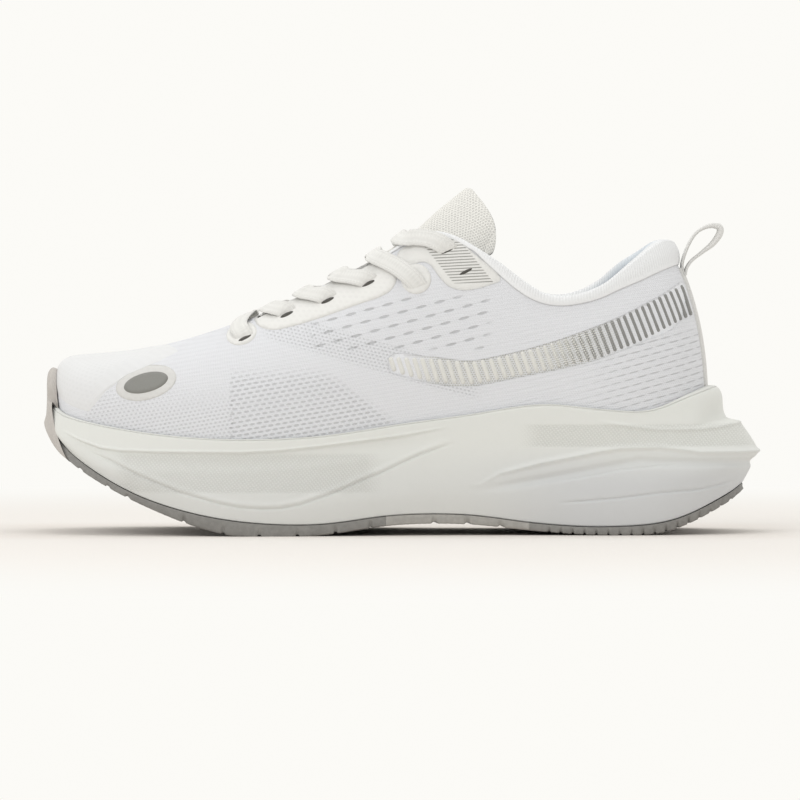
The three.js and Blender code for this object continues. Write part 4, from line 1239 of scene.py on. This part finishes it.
def build_midsole():
    """The foam body: flat below, a moulded side wall, a rounded rim and the start of the cup."""
    t = ring_columns(FOAM_COLUMNS)
    out = outward(t)
    edge, bulge = FOAM_EDGE(t), FOAM_BULGE(t)
    rim_inner = upper_point(t, BITE_LEVEL, FIT)
    rim_outer = upper_point(t, BITE_LEVEL, FIT + rim_width(t))
    rim_outer[..., 2] = rim_inner[..., 2]
    wall = [edge, (edge + bulge) / 2 + out * 0.8, bulge, (bulge + rim_outer) / 2, rim_outer]
    spine = (edge + across_from(edge)) / 2
    rows = [edge + (spine - edge) * share for share in (1.0, 0.8, 0.6, 0.4, 0.2, 0.05)]
    for share in np.linspace(0, 1, 120):
        point = eased(wall, share * 4)
        relief = foam_relief(point[..., 0], point[..., 2])
        relief = relief * smoothstep(0, 0.05, share) * smoothstep(1, 0.96, share)
        rim_round = 0.5 * smoothstep(0.97, 1.0, share) + 0.5 * smoothstep(0.02, 0, share)
        rows.append(point - out * (relief + rim_round)[..., None])
    for share in np.linspace(0.08, 1, 5):
        crest = rim_outer + (rim_inner - rim_outer) * share
        crest[..., 2] += 0.45 * math.sin(min(share * 2, 1) * math.pi / 2)
        rows.append(crest)
    rows += [upper_point(t, level, FIT) for level in (1.7, 1.2)]
    points = np.array(rows)
    made = grid_object("midsole_foam", points, closed_columns=True, flip=True, uv=ring_uv(points, 70))
    return finish_piece(made, "shoe", "foam", foam_material(), "midsole")


build_midsole()


# ---------------------------------------------------------------- outsole
RUBBER = rubber_material("rubber", RUBBER_GRAY)
ARCH_RUBBER = rubber_material("arch_rubber", (0.34, 0.33, 0.31))
TREAD_START, ARCH_START, ARCH_END, TREAD_END = -147.2, -5.9, 54, 144.8
HEEL_GAP_SHARE = 0.12
RUBBER_EDGE = 0.5
TREAD_COLUMN = 0.45
TREAD_LIFT = 0.2
CUT_NOTCHES = [-137, -126, -118, -95, -79, -64, -48, -32, -17]
ARCH_NOTCHES = [10, 24, 38]
HEEL_NOTCHES = [58 + 4.9 * k for k in range(17)]


def tread_relief(x, y, notches, width):
    """How deep the tread is cut at each point: cross grooves that bend at the middle, and fine siping."""
    bent = x - 0.10 * np.abs(y)
    cuts = np.zeros_like(x)
    for notch in notches:
        cuts = np.maximum(cuts, np.exp(-(((bent - notch) / width) ** 6)))
    sipes = 0.5 + 0.5 * np.cos(2 * math.pi * bent / 2.6)
    long_cut = np.exp(-((np.abs(y) - 19) / 1.2) ** 4)
    return 1.5 * np.maximum(cuts, 0.8 * long_cut) + 0.12 * sipes


def column_at(rail, x, side):
    """The t where a rail passes an x on one side of the shoe."""
    t = np.linspace(0.0005, 0.4995, 2000)
    if side == LATERAL:
        return np.interp(-x, -rail(t)[:, 0], t)
    return 1 - np.interp(-x, -rail(1 - t)[:, 0], t)


def tread_bottom(lateral, medial, from_side, to_side, notches, width):
    """Rows across the tread between two sides, each from -1 lateral to 1 medial."""
    rows = []
    for share in np.linspace(0, 1, 120):
        if not from_side <= 2 * share - 1 <= to_side:
            continue
        row = lateral + (medial - lateral) * share
        cut = tread_relief(row[:, 0], row[:, 1], notches, width)
        row[:, 2] = np.maximum(row[:, 2], 0) + cut * smoothstep(0, 0.012, min(share, 1 - share) + 0.006)
        rows.append(row)
    return rows


def tread_wall(top, low, side, notches, width):
    """Rows down the outer edge of the rubber on one side."""
    rows = []
    for share in np.linspace(0, 1, 12)[:-1]:
        row = top + (low - top) * share
        cut = tread_relief(row[:, 0], row[:, 1], notches, width)
        row[:, 1] += side * (RUBBER_EDGE + 0.25 * math.sin(share * math.pi) - 0.55 * cut * share)
        row[:, 2] += cut * 0.8 * share - TREAD_LIFT * (1 - share)
        rows.append(row)
    return rows


def tread_piece(name, from_x, to_x, notches, width, from_side=LATERAL, to_side=MEDIAL):
    """Rubber between two places along the shoe and two sides across it, -1 to 1."""
    xs = np.linspace(from_x, to_x, int(abs(to_x - from_x) / TREAD_COLUMN))
    columns = [np.array([column_at(TREAD_EDGE, x, side) for x in xs]) for side in SIDE_NAMES]
    (lateral_top, medial_top), (lateral_low, medial_low) = (
        [rail(t) for t in columns] for rail in (FOAM_EDGE, TREAD_EDGE)
    )
    rows = tread_bottom(lateral_low, medial_low, from_side, to_side, notches, width)
    if from_side == LATERAL:
        rows = tread_wall(lateral_top, lateral_low, LATERAL, notches, width) + rows
    if to_side == MEDIAL:
        rows = rows + tread_wall(medial_top, medial_low, MEDIAL, notches, width)[::-1]
    first, last = rows[0], rows[-1]
    for share in np.linspace(1, 0, 5):
        cover = first + (last - first) * share
        cover[:, 2] = (lateral_top[:, 2] + (medial_top[:, 2] - lateral_top[:, 2]) * share) - TREAD_LIFT
        rows.append(cover)
    points = np.array(rows)
    return close_ends(grid_object(name, points, closed_rows=True, flip=True, uv=ring_uv(points, 0)))


BUMPER_REACH, BUMPER_SPREAD = 1.3 / 66, 2.3
BUMPER_LEVEL, BUMPER_SIDE_LEVEL = 3.05, 2.05
BUMPER_PALE, BUMPER_PALER = (0.50, 0.47, 0.44), (0.56, 0.53, 0.50)


def build_bumper():
    """The rubber that wraps up over the toe, with a rounded rim."""
    t = np.linspace(TOE - BUMPER_REACH, TOE + BUMPER_REACH, 140)
    side = np.abs(t - TOE) / BUMPER_REACH
    top_level = BUMPER_LEVEL - (BUMPER_LEVEL - BUMPER_SIDE_LEVEL) * side**2.2
    out = outward(t)
    thick = 1.7 * smoothstep(1.0, 0.8, side)
    proud = 3.4 * smoothstep(1.0, 0.72, side)
    rim = upper_point(t, BITE_LEVEL, FIT + rim_width(t) + 0.3)
    wide = TOE + (t - TOE) * BUMPER_SPREAD
    wide_out = outward(wide)
    bulge, edge, low = FOAM_BULGE(TOE + (t - TOE) * 1.5), FOAM_EDGE(wide), TREAD_EDGE(wide)
    controls = np.array([
        upper_point(t, top_level, 0.5),
        upper_point(t, top_level, 0.5 + 0.6 * proud),
        upper_point(t, top_level - 0.18, 0.5 + proud),
        rim + out * thick[:, None] + np.array([0, 0, 3.0]),
        bulge + wide_out * (thick * 0.7)[:, None],
        low + wide_out * (0.4 * thick + 0.3)[:, None],
        low - wide_out * 2.5 - np.array([0, 0, 0.4]),
        edge - wide_out * 1.0,
    ])
    columns = [spline(controls[:, k], np.linspace(0, 1, 70), False) for k in range(len(t))]
    points = np.array(columns).transpose(1, 0, 2)
    made = grid_object("toe_bumper", points, uv=ring_uv(points, 35))
    return finish_piece(made, "shoe", "rubber", bumper_material(), "outsole_forefoot")


def bumper_material():
    """Pale rubber at the toe's front, gray where it meets the tread."""
    m = Shader("bumper_rubber", BUMPER_PALE, 0.6)
    _, _, z = m.parts(m.position)
    mottled = m.height((0.5, m.noise(600)), (0.5, m.noise(80)))
    pale = m.mix(m.ramp(mottled, 0.3, 0.8), BUMPER_PALE, BUMPER_PALER)
    m.color(m.mix(m.ramp(z, 0.027, 0.023), pale, RUBBER_GRAY))
    m.bump(m.height((0.7, m.noise(2200, 4)), (0.3, m.noise(500))), 0.35, 0.0002)
    return m.material


def build_outsole():
    forefoot = tread_piece("forefoot_rubber", TREAD_START, ARCH_START, CUT_NOTCHES, 0.75)
    finish_piece(forefoot, "shoe", "rubber", RUBBER, "outsole_forefoot")
    arch = tread_piece("arch_pad", ARCH_START, ARCH_END, ARCH_NOTCHES, 1.2)
    finish_piece(arch, "shoe", "rubber_pale", ARCH_RUBBER, "outsole_arch")
    for name, *sides in (("lateral", LATERAL, -HEEL_GAP_SHARE), ("medial", HEEL_GAP_SHARE, MEDIAL)):
        heel = tread_piece("heel_rubber_" + name, ARCH_END, TREAD_END, HEEL_NOTCHES, 0.5, *sides)
        finish_piece(heel, "shoe", "rubber", RUBBER, "outsole_heel_" + name)
    build_bumper()


build_outsole()


# ---------------------------------------------------------------- inside: insole
INSOLE_BOTTOM, INSOLE_THICKNESS = 1.5, 4.5


def build_insole():
    """The insole's top cover: slightly cupped at its edge, with a brushed knit face."""
    t = ring_columns(400)
    ring = upper_point(t, 0.8, -5.6)
    ring[..., 2] = FEATHER(t)[..., 2] + INSOLE_BOTTOM
    spine = (ring + across_from(ring)) / 2
    rows = [ring, ring + np.array([0, 0, INSOLE_THICKNESS - 0.6])]
    for share in np.linspace(0.01, 1, 40):
        point = ring + (spine - ring) * share
        point[..., 2] += INSOLE_THICKNESS + 0.6 * math.exp(-share / 0.05) - 0.3 * smoothstep(0, 0.3, share)
        rows.append(point)
    points = np.array(rows)
    made = grid_object("insole_cover", points, closed_columns=True, flip=True, uv=ring_uv(points, 1))
    finish_piece(made, "shoe", "insole", plain_weave("insole_cloth", (0.42, 0.45, 0.49)), "insole")


build_insole()


# ---------------------------------------------------------------- tongue
TONGUE_SPINE = [
    (-79, 81.6), (-60, 87.5), (-42, 97.5), (-25, 107.5), (-8, 117), (4, 125.5), (16, 136.2), (29, 146.6),
]
HINGE_SHARE = 0.79
TONGUE_HALF = (26, 20)
TONGUE_DROP = (10, 25)
TONGUE_CORNER = 0.066
TONGUE_THICKNESS = 5
TONGUE_MIDDLE_Y = 1
BEND_REACH = 0.05


def spine_at(share):
    """The point and direction at a share of the tongue's length, in x and z."""
    fine = spline(np.array(TONGUE_SPINE, float), np.linspace(0, 1, 1400), False)
    running = running_length(fine)
    running /= running[-1]
    slopes = np.gradient(fine, axis=0)
    slopes /= np.linalg.norm(slopes, axis=1, keepdims=True)
    return points_at(share, running, fine), points_at(share, running, slopes)


def tongue_point(share, side, depth):
    """A point of the tongue: share runs up its length, side from -1 to 1 and depth below its top face."""
    share, side, depth = np.broadcast_arrays(*(np.asarray(a, float) for a in (share, side, depth)))
    centre, along = spine_at(share - TONGUE_CORNER * side**8 * smoothstep(0.75, 1, share))
    rise = smoothstep(0.55, 1, share)
    half = TONGUE_HALF[0] + (TONGUE_HALF[1] - TONGUE_HALF[0]) * rise
    past = np.clip((share - HINGE_SHARE) / 0.27, 0, 1)
    tip = np.where(share > HINGE_SHARE, np.sqrt(np.maximum(0.3, 1 - past**4)), 1.0)
    drop = TONGUE_DROP[0] + (TONGUE_DROP[1] - TONGUE_DROP[0]) * rise
    reach = drop * side**2 + depth
    x = centre[..., 0] + along[..., 1] * reach
    z = centre[..., 1] - along[..., 0] * reach
    return np.stack([x, TONGUE_MIDDLE_Y + half * side * tip, z], -1)


def tongue_section():
    """Side and depth of each point round the tongue's section, over its top face and back below."""
    sides = np.linspace(-1, 1, 90)
    thinning = [0.9 * (1 - math.sqrt(max(0.0, 1 - abs(side) ** 8))) for side in sides]
    top = list(zip(sides, thinning))
    return top + [(side, TONGUE_THICKNESS - depth) for side, depth in reversed(top)]


def build_tongue():
    """One padded piece from under the lace to the free end, thinner and rounded at its rim."""
    shares = np.linspace(0, 1, 240)
    end_round = np.sqrt(np.clip(1 - smoothstep(0.975, 1.0, shares) ** 2, 0, 1))
    middle = TONGUE_THICKNESS / 2
    rows = []
    for side, depth in tongue_section():
        quilt = 0.35 * np.cos(side * 9) * smoothstep(0.6, 0.75, shares)
        level = middle + (depth - middle + (quilt if depth < middle else 0)) * (0.06 + 0.94 * end_round)
        rows.append(tongue_point(shares, side, level))
    points = np.array(rows)
    made = close_ends(grid_object("tongue_padded", points, closed_rows=True, uv=ring_uv(points, 45)))
    made.data.materials.append(tongue_material())
    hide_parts("tongue_body", "tongue_flap")
    start, _ = spine_at(HINGE_SHARE - BEND_REACH)
    end, _ = spine_at(HINGE_SHARE + BEND_REACH)
    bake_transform(made)


build_tongue()


# ---------------------------------------------------------------- lace
FILM_THICKNESS, GAP = 0.7, 0.3
LACE_WIDTH, LACE_THICKNESS, LACE_CLEARANCE = 7.8, 1.3, 0.3
LACE_OVER = GAP + FILM_THICKNESS + LACE_CLEARANCE + LACE_THICKNESS / 2
LACE_UNDER = -(UPPER_THICKNESS + LACE_CLEARANCE + LACE_THICKNESS / 2)
LACE_ON_TONGUE = LACE_CLEARANCE + LACE_THICKNESS / 2
CROSSING_RISE = LACE_THICKNESS + LACE_CLEARANCE
CROSSINGS = [0.24, 0.35, 0.48, 0.61, 0.71]
UNDER_EDGE, UNDER_EDGE_LEAN, TONGUE_SIDE, OVER_EDGE = 0.7, 0.006, 0.62, 0.3
STRAND_SHARES = (0.75, 0.4)
# Through a slot: the share of the way back to the edge and the height over the knit.
SLOT_STEPS = [(0.1, LACE_OVER), (-0.1, (LACE_OVER + LACE_UNDER) / 2), (0.06, LACE_UNDER)]
# How far heelward of each eyelet its strand crosses the opening's edge, in millimetres.
STRAND_REACH = [-2, 7, 10, 12, 16, 16]
LACE_STEP, LACE_COLUMNS = 0.6, 28
BAR_SHARE, BAR_RISE = 0.14, 3
TUCKED_END = [
    (13, 24, 108), (9, 24, 97), (6, 23, 82), (-4, 27, 66), (-16, 31, 54), (-32, 35, 46), (-50, 37, 42.5),
    (-68, 37.5, 41.5),
]
SLOT_DIRECTION = np.array([math.cos(SLOT_TURN), 0, math.sin(SLOT_TURN)])


def locate(side, x, z):
    """t and level where the upper's face passes through an x and z on one side."""
    t, level = np.meshgrid(np.arange(1, 200) / 400, np.linspace(BITE_LEVEL, TOP, 60), indexing="ij")
    if side == MEDIAL:
        t = 1 - t
    grid = upper_point(t, level, 0)
    miss = (grid[..., 0] - x) ** 2 + (grid[..., 2] - z) ** 2
    best = np.unravel_index(miss.argmin(), miss.shape)
    t, level = t[best], level[best]
    target = np.array([x, z])
    t_step, level_step = 1e-4, 1e-3
    for _ in range(6):
        nearby = ((t, level), (t + t_step, level), (t, level + level_step))
        here, ahead, up = (upper_point(*place, 0)[[0, 2]] for place in nearby)
        slopes = np.stack([(ahead - here) / t_step, (up - here) / level_step], -1)
        step = np.linalg.solve(slopes, target - here)
        t, level = t + step[0], level + step[1]
    return t, level


def face_of(t, level):
    return upper_point(t, level, 1) - upper_point(t, level, 0)


def tongue_face(share):
    return tongue_point(share, 0, -1) - tongue_point(share, 0, 0)


NO_FACE = np.zeros(3)


def strand_points(slot, edge_t):
    """From the opening's edge over the film to a slot and through it."""
    run = np.array([edge_t, TOP]) - slot
    points = [(upper_point(edge_t, TOP, LACE_OVER + OVER_EDGE), face_of(edge_t, TOP))]
    for share in STRAND_SHARES:
        place = slot + run * share
        points.append((upper_point(*place, LACE_OVER), face_of(*place)))
    for share, offset in SLOT_STEPS:
        points.append((upper_point(*(slot + run * share), offset), NO_FACE))
    return points


def lace_half(side, over):
    """Points of half the lace with the direction its flat face looks there, zero inside a slot."""
    points = []
    for i, (x, z) in enumerate(EYELETS):
        t, level = locate(side, x, z)
        points += strand_points(np.array([t, level]), column_at(OPENING, x - STRAND_REACH[i], side))
        if i == len(EYELETS) - 1:
            break
        under = (t + side * UNDER_EDGE_LEAN, min(level + UNDER_EDGE, TOP - 0.1))
        points.append((upper_point(*under, LACE_UNDER - 0.4), face_of(*under)))
        lift = CROSSING_RISE if (i % 2 == 0) == over else 0
        face = tongue_face(CROSSINGS[i])
        points.append((tongue_point(CROSSINGS[i], side * TONGUE_SIDE, -LACE_ON_TONGUE), face))
        points.append((tongue_point(CROSSINGS[i], 0, -LACE_ON_TONGUE - lift), face))
        side = -side
    return points + [(np.array([x, side * y, z], float), NO_FACE) for x, y, z in TUCKED_END]


def smooth_rows(values, reach):
    """Each row averaged with its neighbours up to a reach on both sides."""
    kernel = np.ones(2 * reach + 1) / (2 * reach + 1)
    padded = np.pad(values, ((reach, reach), (0, 0)), "edge")
    return np.stack([np.convolve(column, kernel, "valid") for column in padded.T], -1)


def unit_rows(values):
    return values / np.maximum(np.linalg.norm(values, axis=1, keepdims=True), 1e-9)


def square_to(vectors, directions):
    """Unit vectors at right angles to unit directions, in the plane of the two."""
    return unit_rows(vectors - (vectors * directions).sum(1, keepdims=True) * directions)


def lace_stops():
    """The points that the whole lace passes, and the direction of its width at each."""
    bar = (tongue_point(BAR_SHARE, 0, -LACE_ON_TONGUE - BAR_RISE), tongue_face(BAR_SHARE))
    stops = lace_half(LATERAL, True)[::-1] + [bar] + lace_half(MEDIAL, False)
    route, faces = (np.array(column) for column in zip(*stops))
    tangents = unit_rows(np.gradient(route, axis=0))
    widths = np.cross(faces, tangents)
    widths[np.linalg.norm(faces, axis=1) == 0] = SLOT_DIRECTION
    widths = square_to(widths, tangents)
    widths[widths @ SLOT_DIRECTION < 0] *= -1
    return route, widths


def build_lace():
    """A flat woven lace that turns smoothly from face to face. It is a little wider and thinner than
    the CAD's and lies closer to the film. Returns its length in metres."""
    route, widths = lace_stops()
    shares = np.linspace(0, 1, 9000)
    fine = spline(route, shares, False)
    running = running_length(fine)
    even = np.arange(0, running[-1], LACE_STEP)
    centre = points_at(even, running, fine)
    stop_at = np.interp(np.arange(len(route)) / (len(route) - 1), shares, running)
    along = unit_rows(smooth_rows(np.gradient(centre, axis=0), 3))
    width = square_to(smooth_rows(points_at(even, stop_at, widths), 4), along)
    height = np.cross(along, width)
    rows = []
    for angle in ring_columns(LACE_COLUMNS) * 2 * math.pi:
        a = flattened(math.cos(angle), 0.45) * LACE_WIDTH / 2
        b = math.sin(angle) * LACE_THICKNESS / 2
        rows.append(centre + width * a + height * b)
    uv = strap_uv(even * MM, 2 * (LACE_WIDTH + LACE_THICKNESS), LACE_COLUMNS)
    made = close_ends(grid_object("lace_woven", np.array(rows), closed_rows=True, flip=True, uv=uv))
    finish_piece(made, "shoe", "lace", woven_material("lace_weave", LACE_WHITE, 0.0014, 0.0011), "lace")
    return running[-1] * MM


lace_length = build_lace()


# ---------------------------------------------------------------- heel strip and pull loop
WEBBING = woven_material("webbing", (0.91, 0.905, 0.885), 0.0016, 0.0012)
STRIP_HALF_WIDTH = 5.0
HEEL_ROUNDNESS = 0.018


def build_backstay():
    """A strip up the middle of the heel with pressed edges."""
    levels = np.linspace(1.95, 6.1, 90)
    spine = upper_point(0.0, levels, 0.0)
    out = upper_point(0.0, levels, 1.0) - spine
    edge = [(-1, -0.4), (-1, 0.8), (-0.94, 1.3), (-0.80, 1.45), (-0.74, 1.0)]
    middle = [(side, 1.1 + 0.35 * (1 - side * side)) for side in np.linspace(-0.7, 0.7, 18)]
    rows = []
    for side, height in edge + middle + [(-side, height) for side, height in reversed(edge)]:
        y = side * STRIP_HALF_WIDTH
        curve = spine + out * height
        curve[:, 0] -= HEEL_ROUNDNESS * y * y
        curve[:, 1] = y
        rows.append(curve)
    points = np.array(rows)
    made = grid_object("heel_strip", points, flip=True, uv=ring_uv(points, 10))
    return finish_piece(made, "shoe", "webbing", WEBBING, "backstay")


LOOP_BASE = np.array([120.8, 0, 110.5])
LOOP_OUTLINE = [
    (-0.9, -2.4), (-1.9, -0.5), (-2.3, 2.3), (-0.1, 9.6), (3.5, 15.7), (7.8, 18.8), (12.1, 20), (15.1, 19.1),
    (16, 16.9), (15.1, 13.9), (12.1, 10.2), (7.8, 7.2), (2.9, 3.5), (0.8, 0.4), (0.2, -2.2),
]
LOOP_WIDTH, LOOP_STRAP, LOOP_FOLD = 10, 1.3, 1.5
LOOP_COLUMNS = 36


def build_pull_loop():
    """A folded strap of webbing, thicker toward its fold: its two ends meet at the heel."""
    outline = spline(np.array(LOOP_OUTLINE, float), ring_columns(220), True)
    along = unit_rows(np.roll(outline, -1, axis=0) - np.roll(outline, 1, axis=0))
    inward = np.stack([along[:, 1], -along[:, 0]], -1)
    strap = LOOP_STRAP + LOOP_FOLD * smoothstep(4, 16, outline[:, 0])
    rows = []
    for angle in ring_columns(LOOP_COLUMNS) * 2 * math.pi:
        y = flattened(math.cos(angle), 0.4) * LOOP_WIDTH / 2
        depth = strap / 2 * (1 - flattened(math.sin(angle), 0.7))
        flat = outline + inward * depth[:, None]
        rows.append(np.stack([flat[:, 0], np.full(len(flat), y), flat[:, 1]], -1) + LOOP_BASE)
    points = np.array(rows)
    uv = strap_uv(arc_lengths(points[:1], 1)[0], 2 * (LOOP_WIDTH + LOOP_STRAP), LOOP_COLUMNS)
    made = grid_object("pull_strap", points, closed_columns=True, closed_rows=True, flip=True, uv=uv)
    return finish_piece(made, "heel_loop", "webbing", WEBBING, "pull_loop")


build_backstay()
build_pull_loop()


# ---------------------------------------------------------------- what stays as the CAD made it, out of sight
def finish_hidden():
    """Cloth and film for the CAD's own solids inside the shoe."""
    stiff = plain_weave("stiffener_cloth", (0.60, 0.57, 0.50), 0.0016)
    board = plain_weave("board_cloth", (0.68, 0.66, 0.62), 0.002)
    tip = plain_weave("aglet_film", (0.80, 0.79, 0.76), 0.003)
    hidden = {
        "toe_puff": (stiff, "stiffener"),
        "heel_counter": (stiff, "stiffener"),
        "strobel_board": (board, "board"),
        "aglet_lateral": (tip, "aglet"),
        "aglet_medial": (tip, "aglet"),
    }
    for node, (material, slot) in hidden.items():
        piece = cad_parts[node]
        piece.data.materials.clear()
        piece.data.materials.append(material)


finish_hidden()


# ---------------------------------------------------------------- floor
FLOOR_WHITE = (0.83, 0.80, 0.77)
# Painted shadow colour of the floor round the shoe.
FLOOR_PAINTED_SHADOW = (0.80, 0.755, 0.715)
BACKDROP_COLOR = (0.972, 0.962, 0.928)
BACKDROP_START, BACKDROP_FULL = 0.2, 0.6
FLOOR_REACH = 6.0


def build_floor():
    """A plain pale floor that turns into the even backdrop away from the object, with a painted warm shadow
    near the shoe.
    """
    corners = [(x * FLOOR_REACH, y * FLOOR_REACH, 0) for x, y in ((-1, -1), (1, -1), (1, 1), (-1, 1))]
    mesh = bpy.data.meshes.new("floor")
    mesh.from_pydata(corners, [], [(0, 1, 2, 3)])
    floor = bpy.data.objects.new("floor", mesh)
    bpy.context.scene.collection.objects.link(floor)
    m = Shader("floor", FLOOR_WHITE, 0.8)
    x, y, _ = m.parts(m.position)
    # Painted shadow: the floor's colour turns darker and warmer near the shoe.
    near = m.times(m.window(x, -0.15, 0.14, 0.05), m.window(y, -0.05, 0.06, 0.05))
    m.color(m.mix(m.height((0.95, near), (0.05, m.noise(4))), FLOOR_WHITE, FLOOR_PAINTED_SHADOW))
    away = m.math("SQRT", m.math("ADD", m.times(x, x), m.times(y, y)))
    glow = m.node("ShaderNodeEmission")
    glow.inputs["Color"].default_value = (*BACKDROP_COLOR, 1)
    blend = m.node("ShaderNodeMixShader")
    sources = (m.ramp(away, BACKDROP_START, BACKDROP_FULL), m.surface.outputs[0], glow.outputs[0])
    for source, socket in zip(sources, blend.inputs):
        m.link(source, socket)
    m.link(blend.outputs[0], m.tree.nodes["Material Output"].inputs["Surface"])
    mesh.materials.append(m.material)


build_floor()

bpy.context.view_layer.update()
